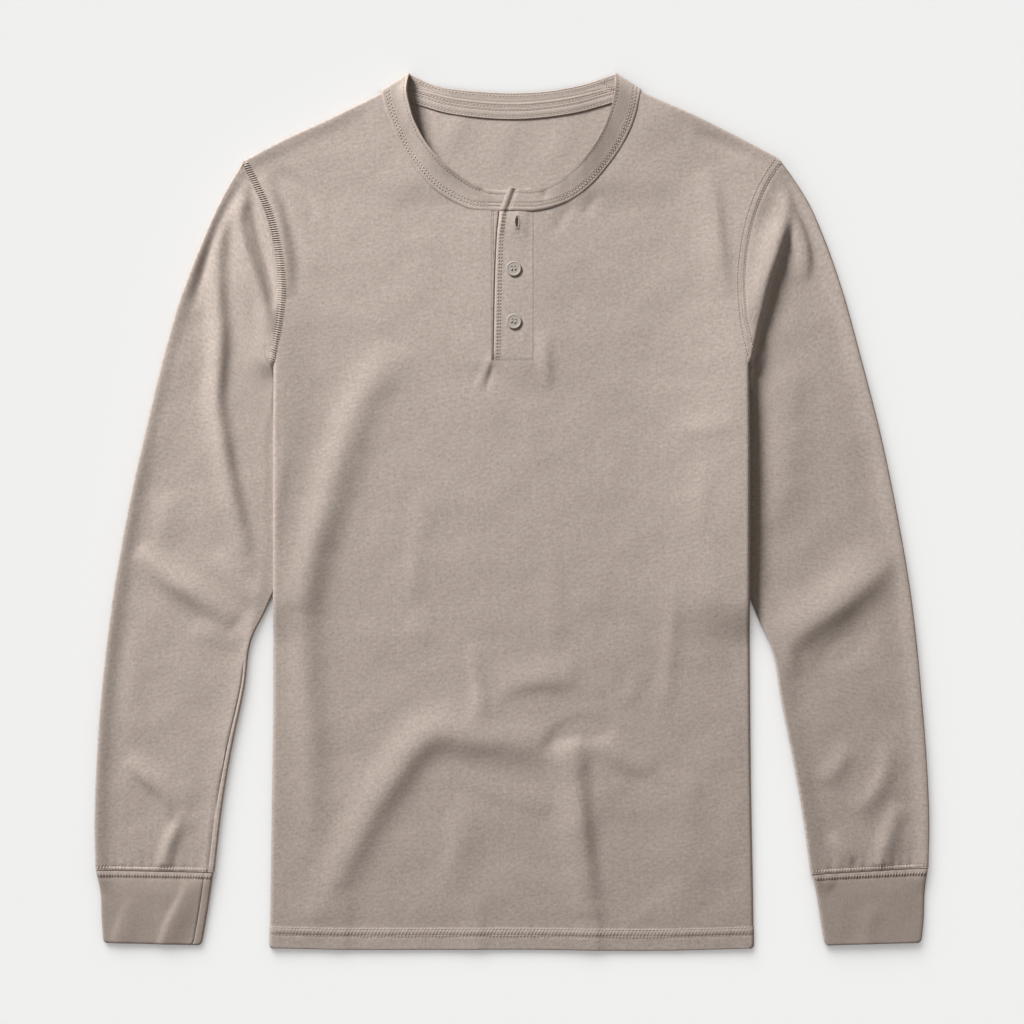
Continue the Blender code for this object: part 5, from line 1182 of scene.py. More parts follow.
def build_sleeve(name, rows, hand, folds):
    arm = ARM[hand]
    path = Path(rows, measure=4)
    length = path.length / math.sqrt(2)
    places = spaced(length, (0, 0.6, 1.3, 2.2, 3.2, 4.4, 6.0, 8.2), (0, 0.7, 1.4, 2.1, 2.8, 3.5, 4.2, 5.2, 6.8, 9.0), GRID)
    table = path.at(places / length)
    slopes = np.gradient(table[:, :4], places, axis=0)
    chord0 = table[0, 0:2] + (table[0, 2:4] - table[0, 0:2]) * ARM_STEPS[:, None]
    devs = ((arm.front - chord0, 1), (arm.back - chord0, -1))
    even = 42
    plans = {1: [], -1: []}
    outs, ins, rolls, ws = [], [], [], []
    for r, row in enumerate(table):
        o, i, bow = row[0:2], row[2:4], max(row[4], 0)
        width = np.linalg.norm(i - o)
        bow_end = (devs[0][0][-1] - devs[0][0][-8]) * bow
        roll_out = slant_roll(slopes[r, 0:2], i - o)
        roll_in = slant_roll(slopes[r, 2:4], (i - o) * 0.1 + bow_end)
        mix = float(ease(places[r] / 8))
        roll_out = CREASE + (roll_out * CREASE / ROLL - CREASE) * mix
        roll_in = roll_in * (1 + (CREASE / ROLL - 1) * float(ease(places[r] / 60 - 1.8)))
        roll_in = ARM_ROLL + (roll_in - ARM_ROLL) * mix
        begin = ROUND * roll_out
        finish = np.concatenate([ROUND, SEAM_SIDE]) * roll_in
        if finish[-1] > 0.35 * width:
            finish = np.concatenate([ROUND * roll_in, roll_in + (0.35 * width - roll_in) * np.arange(1, 10) / 9])
        middle = np.linspace(begin[-1], width - finish[-1], even + 2)[1:-1]
        w = np.concatenate([begin, middle, width - finish[::-1]]) / width
        for dev, sign in devs:
            bend = np.stack([np.interp(w, ARM_STEPS, dev[:, k]) for k in range(2)], axis=-1)
            plans[sign].append(o + (i - o) * w[:, None] + bend * bow)
        outs.append(w * width)
        ins.append((1 - w) * width)
        rolls.append((roll_out, roll_in))
        ws.append(w)
    outs, ins, rolls, ws = np.array(outs), np.array(ins), np.array(rolls), np.array(ws)
    turn = np.minimum(np.clip(outs / rolls[:, :1], 0, 1), np.clip(ins / rolls[:, 1:], 0, 1))
    shape = np.sqrt(1 - (1 - turn) ** 2)
    d_end = np.repeat((length - places)[:, None], outs.shape[1], axis=1)
    layers = {}
    for sign in (1, -1):
        plan = np.array(plans[sign])
        high, low = sleeve_walls(plan[..., 0].ravel(), plan[..., 1].ravel(), outs.ravel(), ins.ravel(), d_end.ravel(), hand, folds)
        high, low = high.reshape(outs.shape), low.reshape(outs.shape)
        if sign > 0:
            high = high + seam_groove(plan[..., 1], ins, hand)
        z = (high + low) / 2 + sign * (high - low) / 2 * shape
        # at the armhole the sleeve starts where the body's wall ends
        line = arm.top if sign > 0 else arm.low
        w0 = ws[0]
        target = arm.read(line, w0) + arm.across * SEAM / 2
        target[0, 2] -= sign * SEAM / 2
        target[-1, 2] = (arm.top[-1, 2] + arm.low[-1, 2]) / 2 - 0.3
        target += arm.across * (1.4 * bell(ins[0], 3.0))[:, None]
        fix = target - np.concatenate([plan[0], z[0][:, None]], axis=1)
        d = np.linalg.norm(plan - plan[0], axis=2)
        pts = np.concatenate([plan, z[..., None]], axis=2) + fix[None] * bell(d, 7.0)[..., None]
        layers[sign] = pts
    net = Net()
    top, low = layers[1], layers[-1]
    ring = np.concatenate([top, low[:, -2:0:-1]], axis=1)
    across = np.concatenate([outs, (2 * (outs + ins)[:, :1] - outs)[:, -2:0:-1]], axis=1)
    uv = np.stack([across - (outs + ins)[:, :1] / 2, np.repeat(-places[:, None], ring.shape[1], axis=1)], axis=-1)
    index = net.add(ring, uv)
    normals = np.vstack([arm.read(arm.top_n, ws[0]), arm.read(arm.low_n, ws[0])[-2:0:-1]])
    normals[outs.shape[1] - 1] = arm.tip_n
    net.fix(index[0], normals)
    loop = np.hstack([index, index[:, :1]])
    net.weave(loop if hand > 0 else loop[:, ::-1])
    obj = shell(name, net, WALL, JERSEY, out_up=ring[..., 2].mean())
    seams = {"end": top[-1], "rows": top, "out": outs, "in": ins}
    return obj, seams


def build_cuff(name, rows, hand, folds):
    path = Path(rows, measure=4)
    length = path.length / math.sqrt(2)
    places = spaced(length, (0, 0.4, 1.0, 1.8, 2.6, 3.4, 4.2, 5.2, 6.6, 8.4), (0, 0.15, 0.4, 0.8, 1.4, 2.2, 3.4), 2.2)
    table = path.at(places / length)
    line = 6.0 if hand < 0 else -9.0
    pieces = []
    for row, place in zip(table, places):
        o, i, high, low = row[0:2], row[2:4], row[4], row[5]
        d = (i - o) / np.linalg.norm(i - o)
        inset = float(round_corner(length - place, CUFF_CORNER))
        o, i = o + d * inset, i - d * inset
        width = np.linalg.norm(i - o)
        roll_out = roll_in = CREASE
        begin = ROUND * roll_out
        finish = np.concatenate([ROUND * roll_in, (2.9, 3.6, 4.4, 5.0, 5.5, 6.0, 6.5, 7.0, 7.8)])
        w = np.concatenate([begin, np.linspace(begin[-1], width - finish[-1], 46)[1:-1], width - finish[::-1]])
        pieces.append((o, i, width, w, high, low))
    top, bottom, uv_out = [], [], []
    for (o, i, width, w, high, low), place in zip(pieces, places):
        plan = o + (i - o) * (w / width)[:, None]
        d_in = width - w
        near = np.minimum(w, d_in) / CREASE
        shape = np.sqrt(np.maximum(1 - (1 - np.clip(near, 0, 1)) ** 2, 0))
        inside = np.clip((np.minimum(w, d_in) - 1) / 8, 0, 1)
        left = length - place
        start = SLEEVE_FLAT + (SLEEVE_EDGE - SLEEVE_FLAT) * (bell(w, 9) + 0.75 * bell(d_in, 11)) + 0.45
        level = start + (high - start) * ease(place / 20)
        up = level + (fold_height(plan[:, 0], plan[:, 1], folds) + ripple(plan[:, 0], plan[:, 1], 0.9)) * inside
        up = up - 0.30 * bell(place - 5.2, 1.2) - 0.35 * bell(place - 0.1, 0.7) + 0.25 * bell(place - 2.4, 1.6)
        up = up - 0.25 * np.sin(2 * math.pi * plan[:, 0] / 8.3 + 1.9 * np.sin(plan[:, 0] / 17.0)) * bell(place - 1, 5) * inside
        up = up - 0.5 * (1 - np.clip(left / 1.2, 0, 1)) ** 2
        if hand < 0:
            up = up - 0.75 * bell(d_in - line, 0.7) + 0.2 * bell(d_in - line - 1.5, 0.9)
        up = np.maximum(up, low + 2.3)
        top.append(np.column_stack([plan, (up + low) / 2 + (up - low) / 2 * shape]))
        bottom.append(np.column_stack([plan, (up + low) / 2 - (up - low) / 2 * shape]))
        uv_out.append(np.concatenate([w, (2 * width - w)[-2:0:-1]]))
    ring = np.concatenate([np.array(top), np.array(bottom)[:, -2:0:-1]], axis=1)
    uv = np.stack([np.array(uv_out), np.repeat(-places[:, None], ring.shape[1], axis=1)], axis=-1)
    net = Net()
    index = net.add(ring, uv)
    net.weave(np.hstack([index, index[:, :1]]))

    end = np.array([p[0] for p in pieces[-1:]])[0], pieces[-1][1]

    def wall(points):
        # the folded end of the cuff is round
        o, i = end
        d = (i - o) / np.linalg.norm(i - o)
        n = np.array([-d[1], d[0]])
        away = np.abs((points[:, :2] - o) @ n)
        t = np.clip(away / 1.1, 0, 1)
        return WALL_FOLDED * (0.5 + 0.5 * np.sqrt(1 - (1 - t) ** 2))

    return shell(name, net, wall, CUFF_KNIT, out_up=ring[..., 2].mean()), (np.array(top), length, places)


# ---------------------------------------------------------------- neck
BAND_LOW = WALL_FOLDED / 2
BAND_UNDER = 2.9
BAND_OVER = 6.0
BAND_ACROSS = np.array([0, 0.3, 0.8, 1.5, 2.4, 3.1, 3.6, 4.1, 4.7, 5.3, 5.9, 6.4, 6.9, 7.5, 8.4, 10, 12, 13.4, 14.1, 14.6, 15.1, 15.7, 16.6, 17.3, 17.7, 18.0]) / 18.0
BAND_ROWS = (3.6, 6.4)      # stitches from the joined edge
BAND_FREE_ROW = 3.3         # and from the free edge


def band_profile(t, width):
    """Height across the band over its middle surface: seam ridge, rows drawn in, round fold."""
    d, f = t * width, (1 - t) * width
    z = 0.28 * bell(d - 1.6, 1.2) + 0.14 * bell(d - 5.0, 0.9) + 0.12 * bell(d - 8.0, 1.2)
    for row in BAND_ROWS:
        z = z - 0.38 * bell(d - row, 0.55)
    z = z - 0.36 * bell(f - BAND_FREE_ROW, 0.6) + 0.12 * bell(f - 1.6, 0.9)
    z = z - 0.45 * (1 - np.clip(d / 0.9, 0, 1)) ** 2 - 0.35 * (1 - np.clip(f / 0.9, 0, 1)) ** 2
    return z


def band_stations(rows, flip=False):
    path = Path(rows, measure=2)
    close = (0.0, 0.25, 0.65, 1.3, 2.25, 3.4, 5.0)
    along = spaced(path.length, (0.0, 1.0), close, 1.5)
    table = path.at(along / path.length)
    return table, path.length - along


def build_band():
    """One strip: under the placket, up the left, behind, down the right, over it."""
    left, gap_l = band_stations(NECK_LEFT)
    right, gap_r = band_stations(NECK_RIGHT)
    path = Path(NECK_BACK, measure=2)
    close = (0.25, 0.65, 1.3, 2.25, 3.4, 5.0)
    along = spaced(path.length, close, close, 1.5)
    back = path.at(along / path.length)
    gap_b = np.minimum(along, path.length - along)
    parts = ((left, gap_l, -1), (back, gap_b, 0), (right[::-1], gap_r[::-1], 1))
    rows, heights, sides, bulges = [], [], [], []
    for line, gap, side in parts:
        high = upper_wall(line[:, 0], line[:, 1]) + 0.1
        if side < 0:
            high = high + (BAND_UNDER - high) * ease((line[:, 0] + 40) / 30)
        if side > 0:
            high = high + (BAND_OVER - high) * (1 - ease((line[:, 0] - 12) / 40))
            # the end at the placket's fold stands up a little as a soft rolled ridge
            high = high + 1.0 * bell(line[:, 0] + 7.6, 1.5) - 0.8 * bell(line[:, 0] + 3.6, 1.7)
        bulge = np.sqrt(1 - (1 - np.minimum(gap / ROLL, 1)) ** 2)
        rows.append(line)
        bulges.append(bulge)
        heights.append((high + BAND_LOW) / 2 + (-1 if side == 0 else 1) * (high - BAND_LOW) / 2 * bulge)
        sides.append(np.full(len(line), side))
    rows, heights, sides, bulge_all = np.vstack(rows), np.concatenate(heights), np.concatenate(sides), np.concatenate(bulges)
    joined, free = rows[:, :2], rows[:, 2:]
    width = np.linalg.norm(free - joined, axis=1)
    t = BAND_ACROSS
    plan = joined[:, None] + (free - joined)[:, None] * t[None, :, None]
    run = np.concatenate([[0], np.cumsum(np.linalg.norm(np.diff(joined, axis=0), axis=1))])
    # the profile is on the outside of the cloth: up in front, down behind
    face = np.where(sides == 0, -1.0, 1.0)
    # the rolled end at the placket is plain, without the rows of stitches
    plain = np.where(sides > 0, 1 - bell(joined[:, 0] + 8.0, 4.2), 1.0)
    level = heights[:, None] + (face * plain)[:, None] * band_profile(t[None, :], width[:, None]) * 0.8
    # on the left its free edge curls up over the inside; on the right it all tilts
    up = np.clip(np.minimum(np.interp(np.abs(joined[:, 0]), (24, 60), (0, 1)), 1), 0, 1) * (1 - bell(np.where(sides == 0, 0, np.concatenate([gap_l, gap_b, gap_r[::-1]])), 9))
    level = level + (np.where(sides < 0, up, 0) * (1 + 0.45 * ease((joined[:, 1] - 276) / 40)))[:, None] * (4.3 * t[None, :] ** 4 + 0.3) + np.where(sides > 0, up, 0)[:, None] * 4.2 * t[None, :]
    # the right-hand half ends square, so that its fold stays in its own shade
    level = level + np.where(sides > 0, 0.34, 0)[:, None] * (1 - np.clip((1 - t) * 18 / 0.9, 0, 1))[None, :] ** 2
    level = level + np.where(sides == 0, nape(joined[:, 0], joined[:, 1]), 0)[:, None] * bulge_all[:, None]
    # small hollow beside the placket's end, and slight unevenness
    d = np.hypot(plan[..., 0] - 27, plan[..., 1] - 261)
    level = level - np.where(sides[:, None] > 0, 0.7 * bell(d, 3.4), 0) + ripple(plan[..., 0], plan[..., 1], 0.6) * np.where(sides[:, None] == 0, 0, 1)
    d = np.hypot(plan[..., 0] + 25, plan[..., 1] - 265)
    level = level - np.where(sides[:, None] < 0, 0.5 * bell(d, 2.6), 0)
    level = np.maximum(level, BAND_LOW)
    net = Net()
    index = net.add(np.concatenate([plan, level[..., None]], axis=2),
                    np.stack([np.repeat(run[:, None], len(t), 1), width[:, None] * t[None]], axis=-1))
    net.weave(index)

    def wall(points):
        return WALL_FOLDED - 0.2

    obj = shell("neckband_cloth", net, wall, BINDING)
    return obj, rows, sides


def build_tape():
    """Covers the seam behind the neck, laid on the back panel."""
    path = Path(NECK_BACK, measure=2)
    f = np.linspace(0, 1, 220)
    line = path.at(f)[:, :2]
    line = line[np.abs(line[:, 0]) < TAPE_HALF]
    upper = offset_line(line, -SEAM)
    lower = offset_line(line, -SEAM - TAPE_DEPTH)
    t = np.array([0, 0.4, 0.9, 1.5, 2.1, 2.8, 3.8, 5.0, 6.0, 6.8, 7.3, 7.8, 8.25, 8.6]) / TAPE_DEPTH
    plan = upper[:, None] + (lower - upper)[:, None] * t[None, :, None]
    d = t * TAPE_DEPTH
    z = 1.9 + 0.32 * bell(d - 0.7, 0.5) - 0.30 * bell(d - 1.8, 0.5) + 0.25 * bell(d - 4.4, 2.2) - 0.30 * bell(d - 7.0, 0.5) + 0.05
    lift = 0.55 * fold_height(plan[..., 0], plan[..., 1], BACK_FOLDS) + nape(plan[..., 0], plan[..., 1])
    net = Net()
    run = np.concatenate([[0], np.cumsum(np.linalg.norm(np.diff(line, axis=0), axis=1))])
    level = np.broadcast_to(z[None], plan.shape[:2]) + lift
    index = net.add(np.concatenate([plan, level[..., None]], axis=2),
                    np.stack([np.repeat(run[:, None], len(t), 1), np.repeat(d[None], len(run), 0)], axis=-1))
    net.weave(index)
    return shell("tape_cloth", net, WALL_TAPE, BINDING), line


# ---------------------------------------------------------------- plackets
PLACKET_ROWS = (2.2, 4.4)   # stitches from the folded edge


def upper_placket_height(x, y):
    _, bx, by = BUTTONS[0]
    return PLACKET_HIGH + 1.25 * bell(x - bx, 12.5) * bell(y - by, 13) * ease((PLACKET_RIGHT_X - x) / 9)


def build_placket_top():
    y = spaced(247.4 - PLACKET_FOOT_Y - SEAM / 2, (0, 0.3, 0.8, 1.3, 1.8, 2.4), (0, 0.4, 1.0), 1.3) + PLACKET_FOOT_Y + SEAM / 2
    right = PLACKET_RIGHT_X + SEAM / 4
    left = track(PLACKET_FOLD, y, 1)
    close = np.array([0, 0.2, 0.5, 0.9, 1.3, 1.8, 2.2, 2.6, 3.1, 3.6, 4.0, 4.4, 4.8, 5.4, 6.2])
    far = np.array([1.9, 1.4, 0.9, 0.4, 0.0])
    columns = []
    for l in left:
        columns.append(np.concatenate([l + close[:-1], np.linspace(l + close[-1], right - far[0], 19), right - far[1:]]))
    X = np.array(columns)
    Y = np.repeat(y[:, None], X.shape[1], axis=1)
    d, e = X - left[:, None], right - X
    z = upper_placket_height(X, Y)
    z = z + 0.35 * bell(d - 1.6, 1.5) - 0.35 * (1 - np.clip(d / 0.8, 0, 1)) ** 2 - 0.2 * bell(d - 6.6, 1.6)
    z = z - 0.22 * bell(e, 0.8) + 0.10 * bell(e - 1.7, 0.9)
    # at its foot it is level with the front
    foot = upper_wall(X[:1] + 0 * X, np.full_like(X, PLACKET_FOOT_Y - 0.1)) - 0.1
    z = z + (foot - z) * bell(Y - PLACKET_FOOT_Y, 5)
    # towards the band the fold stands up as a soft roll that the band's end carries on
    z = z + 0.8 * bell(d - 2.2, 1.6) * ease((Y - 222) / 20)
    for row in PLACKET_ROWS:
        z = z - 0.34 * bell(d - row, 0.45)
    z = z - 0.22 * bell(Y - PLACKET_FOOT_Y - 0.9, 0.5)
    for k, (_, bx, by) in enumerate(BUTTONS):
        if k:
            z = z - 0.35 * bell(np.hypot(X - bx, Y - by), 6.0)
            z = z + 0.25 * bell(X - bx - 8, 4) * bell(Y - by + 12, 9)
        else:
            z = z + 0.3 * bell(np.hypot((X - bx) / 1.0, (Y - by) / 2.2) - 2.4, 0.9)
    z = z + ripple(X, Y, 0.7)
    net = Net()
    index = net.add(np.stack([X, Y, z], axis=-1), np.stack([X, Y], axis=-1))
    net.weave(index)
    obj = shell("placket_top_cloth", net, WALL_PLACKET - 0.1, JERSEY)
    for name, bx, by in BUTTONS:
        cut_slit(obj, bx, by, OPEN_HOLE if name == "button_1" else BUTTONHOLE[0])
    return obj


def cut(obj, tool):
    mod = obj.modifiers.new("cut", "BOOLEAN")
    mod.operation = "DIFFERENCE"
    mod.solver = "EXACT"
    mod.object = tool
    dg = bpy.context.evaluated_depsgraph_get()
    done = bpy.data.meshes.new_from_object(obj.evaluated_get(dg))
    obj.modifiers.clear()
    old = obj.data
    obj.data = done
    bpy.data.meshes.remove(old)
    bpy.data.objects.remove(tool)


def slit_width(y, gape):
    """Half width of a buttonhole at a distance from its middle."""
    t = np.clip(np.abs(y) / (BUTTONHOLE[1] / 2), 0, 1)
    return gape / 2 * np.sqrt(1 - t ** 2) * (1 - 0.35 * t)


def cut_slit(obj, x, y, gape):
    t = np.linspace(-1, 1, 19) * (BUTTONHOLE[1] / 2 - 0.02)
    bm = bmesh.new()
    ring = [(x + slit_width(d, gape), y + d) for d in t] + [(x - slit_width(d, gape), y + d) for d in t[::-1]]
    low = [bm.verts.new((px * MM, py * MM, 1.0 * MM)) for px, py in ring]
    high = [bm.verts.new((px * MM, py * MM, 16.0 * MM)) for px, py in ring]
    bm.faces.new(low[::-1])
    bm.faces.new(high)
    for i in range(len(ring)):
        j = (i + 1) % len(ring)
        bm.faces.new((low[i], low[j], high[j], high[i]))
    bmesh.ops.recalc_face_normals(bm, faces=bm.faces)
    mesh = bpy.data.meshes.new("slit")
    bm.to_mesh(mesh)
    bm.free()
    tool = bpy.data.objects.new("slit", mesh)
    bpy.context.scene.collection.objects.link(tool)
    cut(obj, tool)


def build_placket_under():
    y = np.linspace(PLACKET_FOOT_Y + SEAM / 2, 247.4, 84)
    d = np.concatenate([np.arange(0, 7.6, 0.3), (8.4, 10, 14, 18, 22, 26, 29, 31, 31.6, 31.9)])
    X = PLACKET_SEAM_X + SEAM / 2 + np.repeat(d[None], len(y), 0)
    Y = np.repeat(y[:, None], len(d), 1)
    fold = track(PLACKET_FOLD, Y, 1)
    # its seam allowance stands level with the front, as far as the upper placket's fold
    z = PLACKET_LOW + 1.75 * (1 - ease((X - fold + 2.1) / 1.9))
    z = z - 0.4 * bell(X + 14.9, 0.45) * ease((Y - 204) / 10)
    net = Net()
    index = net.add(np.stack([X, Y, z], axis=-1), np.stack([X, Y], axis=-1))
    net.weave(index)
    return shell("placket_under_cloth", net, WALL_PLACKET - 0.1, JERSEY)


# ---------------------------------------------------------------- buttons
def build_button(name, x, y, foot):
    """Turned disc with a round rim, a dished face and four thread holes."""
    r, t = BUTTON_R, BUTTON_T
    profile = [(r - 1.3, 0.0), (r - 0.6, 0.1), (r - 0.15, 0.35), (r, 0.7), (r - 0.06, t - 0.42), (r - 0.22, t - 0.16), (r - 0.45, t - 0.03),
               (r - 0.8, t), (r - 1.1, t - 0.05), (r - 1.35, t - 0.16), (r - 1.6, t - 0.24), (r - 2.0, t - 0.27), (r - 3.4, t - 0.26), (0.9, t - 0.24)]
    segments = 72
    bm = bmesh.new()
    rings = [[bm.verts.new((pr * math.cos(a) * MM, pr * math.sin(a) * MM, pz * MM))
              for a in np.arange(segments) * 2 * math.pi / segments] for pr, pz in profile]
    for lower, upper in zip(rings[:-1], rings[1:]):
        for i in range(segments):
            j = (i + 1) % segments
            bm.faces.new((lower[i], lower[j], upper[j], upper[i]))
    bm.faces.new(rings[0][::-1])
    bm.faces.new(rings[-1])
    mesh = bpy.data.meshes.new(name)
    bm.to_mesh(mesh)
    bm.free()
    obj = bpy.data.objects.new(name, mesh)
    bpy.context.scene.collection.objects.link(obj)
    turn = {"button_1": 0.2, "button_2": 0.12, "button_3": -0.2}[name[:8]]
    corners = []
    for sx, sy in ((-1, -1), (1, -1), (1, 1), (-1, 1)):
        hx, hy = sx * HOLE_PITCH / 2, sy * HOLE_PITCH / 2
        corners.append((hx * math.cos(turn) - hy * math.sin(turn), hx * math.sin(turn) + hy * math.cos(turn)))
    for hx, hy in corners:
        bm = bmesh.new()
        bmesh.ops.create_cone(bm, cap_ends=True, segments=20, radius1=HOLE_R * MM, radius2=HOLE_R * MM, depth=12 * MM)
        hole = bpy.data.meshes.new("hole")
        bm.to_mesh(hole)
        bm.free()
        tool = bpy.data.objects.new("hole", hole)
        bpy.context.scene.collection.objects.link(tool)
        tool.location = (hx * MM, hy * MM, 0)
        bpy.context.view_layer.update()
        cut(obj, tool)
    obj.data.transform(Matrix.Translation((x * MM, y * MM, foot * MM)))
    obj.data.shade_smooth()
    obj.data.set_sharp_from_angle(angle=math.radians(38))
    obj.data.materials.clear()
    obj.data.materials.append(RESIN)
    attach(obj, "root")
    return obj, [(x + hx, y + hy) for hx, hy in corners]


# ---------------------------------------------------------------- stitches
SIDES = 6


def strands(segments, radius, ends=0.35):
    """Rounded strands of thread. segments: (count, rings, 3) centre lines."""
    seg = np.asarray(segments, float)
    n, rings = seg.shape[:2]
    t = np.gradient(seg, axis=1)
    t /= np.maximum(np.linalg.norm(t, axis=2), 1e-9)[..., None]
    side = np.cross(t, [0, 0, 1.0])
    side /= np.maximum(np.linalg.norm(side, axis=2), 1e-9)[..., None]
    up = np.cross(side, t)
    fat = np.interp(np.linspace(0, 1, rings), (0, 0.18, 0.5, 0.82, 1), (ends, 0.9, 1, 0.9, ends)) * radius
    a = np.arange(SIDES) * 2 * math.pi / SIDES
    verts = (seg[:, :, None] + fat[None, :, None, None]
             * (side[:, :, None] * np.cos(a)[None, None, :, None] + up[:, :, None] * np.sin(a)[None, None, :, None]))
    base = np.arange(n)[:, None, None] * rings * SIDES + np.arange(rings - 1)[None, :, None] * SIDES
    k = np.arange(SIDES)[None, None, :]
    j = (k + 1) % SIDES
    quads = np.stack([base + k, base + k + SIDES, base + j + SIDES, base + j], axis=-1).reshape(-1, 4)
    faces = quads.tolist()
    for s in range(n):
        first = s * rings * SIDES
        faces.append(list(range(first, first + SIDES)))
        last = first + (rings - 1) * SIDES
        faces.append(list(range(last + SIDES - 1, last - 1, -1)))
    return verts.reshape(-1, 3), faces


class Sewing:
    """Collects stitches of one seam group into one joined mesh, with the dark
    Collects stitches of one seam group into one joined mesh, with painted
    shade for the needle holes, near-black strands between the stitches, as a second one."""

    def __init__(self):
        self.verts, self.faces, self.count = [], [], 0
        self.painted_pits = []

    def add(self, segments, radius, ends=0.35):
        if len(segments) == 0:
            return
        v, f = strands(segments, radius, ends)
        self.faces += [[i + self.count for i in q] for q in f]
        self.verts.append(v)
        self.count += len(v)

    def paint_pit(self, ground, px, py, dx, dy, length, radius, up):
        """Painted shade of a needle hole: short near-black strands that lie almost flush with the cloth."""
        ts = np.linspace(-0.5, 0.5, 4)
        x, y = px[:, None] + dx[:, None] * ts * length, py[:, None] + dy[:, None] * ts * length
        z = ground.height(np.stack([x.ravel(), y.ravel()], axis=-1), up).reshape(x.shape)
        good = ~np.isnan(z).any(axis=1) & (np.ptp(z, axis=1) < 0.8)
        seg = np.stack([x, y, z - up * (radius - 0.14)], axis=-1)[good]
        if len(seg):
            self.painted_pits.append((seg, radius))

    def row(self, ground, line, pitch=2.8, length=2.0, radius=0.36, lift=0.16, sink=0.34, up=1.0, slant=0.0, painted_pits=1.15):
        """A row of stitches along a line drawn in plan."""
        line = np.asarray(line, float)
        run = np.concatenate([[0], np.cumsum(np.linalg.norm(np.diff(line, axis=0), axis=1))])
        n = int(run[-1] / pitch)
        if n < 1:
            return
        middle = (np.arange(n) + 0.5) * run[-1] / n
        ts = np.linspace(-0.5, 0.5, 5)
        at = middle[:, None] + ts[None] * length
        px = np.interp(at, run, line[:, 0])
        py = np.interp(at, run, line[:, 1])
        if slant:
            d = np.stack([np.gradient(px, axis=1), np.gradient(py, axis=1)], axis=-1)
            d /= np.linalg.norm(d, axis=2)[..., None]
            px, py = px - d[..., 1] * ts[None] * slant, py + d[..., 0] * ts[None] * slant
        self.lay(ground, px, py, ts, radius, lift, sink, up)
        # painted shade: near-black strands between the stitches stand in for the shadow in the needle holes
        if painted_pits:
            gap = np.arange(n + 1) * run[-1] / n
            gx, gy = np.interp(gap, run, line[:, 0]), np.interp(gap, run, line[:, 1])
            dx, dy = np.gradient(gx), np.gradient(gy)
            size = np.hypot(dx, dy)
            self.paint_pit(ground, gx, gy, dx / size, dy / size, painted_pits, 0.58, up)

    def rungs(self, ground, a, b, pitch, radius=0.24, lift=0.16, sink=0.25, lean=0.0, up=1.0, pit_shade_radius=0.0):
        """Short stitches from one line across to another."""
        a, b = np.asarray(a, float), np.asarray(b, float)
        run_a = np.concatenate([[0], np.cumsum(np.linalg.norm(np.diff(a, axis=0), axis=1))])
        run_b = np.concatenate([[0], np.cumsum(np.linalg.norm(np.diff(b, axis=0), axis=1))])
        n = int(run_a[-1] / pitch)
        f = (np.arange(n) + 0.5) / n
        p = np.stack([np.interp(f * run_a[-1], run_a, a[:, k]) for k in range(2)], axis=-1)
        q = np.stack([np.interp(np.clip(f * run_b[-1] + lean, 0, run_b[-1]), run_b, b[:, k]) for k in range(2)], axis=-1)
        ts = np.linspace(-0.5, 0.5, 5)
        px = p[:, :1] + (q - p)[:, :1] * (ts[None] + 0.5)
        py = p[:, 1:] + (q - p)[:, 1:] * (ts[None] + 0.5)
        self.lay(ground, px, py, ts, radius, lift, sink, up)
        # painted shade: near-black strands between the rungs stand in for the shadow in the needle holes
        if pit_shade_radius:
            mx, my = (px[1:, 2] + px[:-1, 2]) / 2, (py[1:, 2] + py[:-1, 2]) / 2
            dx, dy = (q - p)[1:, 0], (q - p)[1:, 1]
            size = np.hypot(dx, dy)
            self.paint_pit(ground, mx, my, dx / size, dy / size, float(size.mean()) * 0.86, pit_shade_radius, up)

    def lay(self, ground, px, py, ts, radius, lift, sink, up):
        z = ground.height(np.stack([px.ravel(), py.ravel()], axis=-1), up).reshape(px.shape)
        good = ~np.isnan(z).any(axis=1) & (np.abs(z - z[:, 2:3]).max(axis=1) < 1.6)
        px, py, z = px[good], py[good], z[good]
        # a stitch is drawn straight over small dips, and its ends go in
        flat = (z[:, :1] + (z[:, -1:] - z[:, :1]) * (ts[None] + 0.5))
        z = np.maximum(z, flat) if up > 0 else np.minimum(z, flat)
        z = z + up * (lift - (lift + sink) * (2 * ts[None]) ** 4)
        self.add(np.stack([px, py, z], axis=-1), radius)

    def make(self, name, material=None):
        made = make_mesh(name, np.vstack(self.verts), self.faces, None, material or THREAD, sharp=80)
        if not self.painted_pits:
            return [made]
        # the painted needle-hole shade, as a mesh of its own
        verts, faces, count = [], [], 0
        for seg, radius in self.painted_pits:
            v, f = strands(seg, radius, 0.5)
            faces += [[i + count for i in q] for q in f]
            verts.append(v)
            count += len(v)
        return [made, make_mesh(name + "_holes", np.vstack(verts), faces, None, PAINTED_HOLE_SHADE, sharp=80)]


def between(line, low, high, axis=1):
    """The part of a drawn line with x or y between two values."""
    keep = (line[:, axis] >= low) & (line[:, axis] <= high)
    return line[keep]


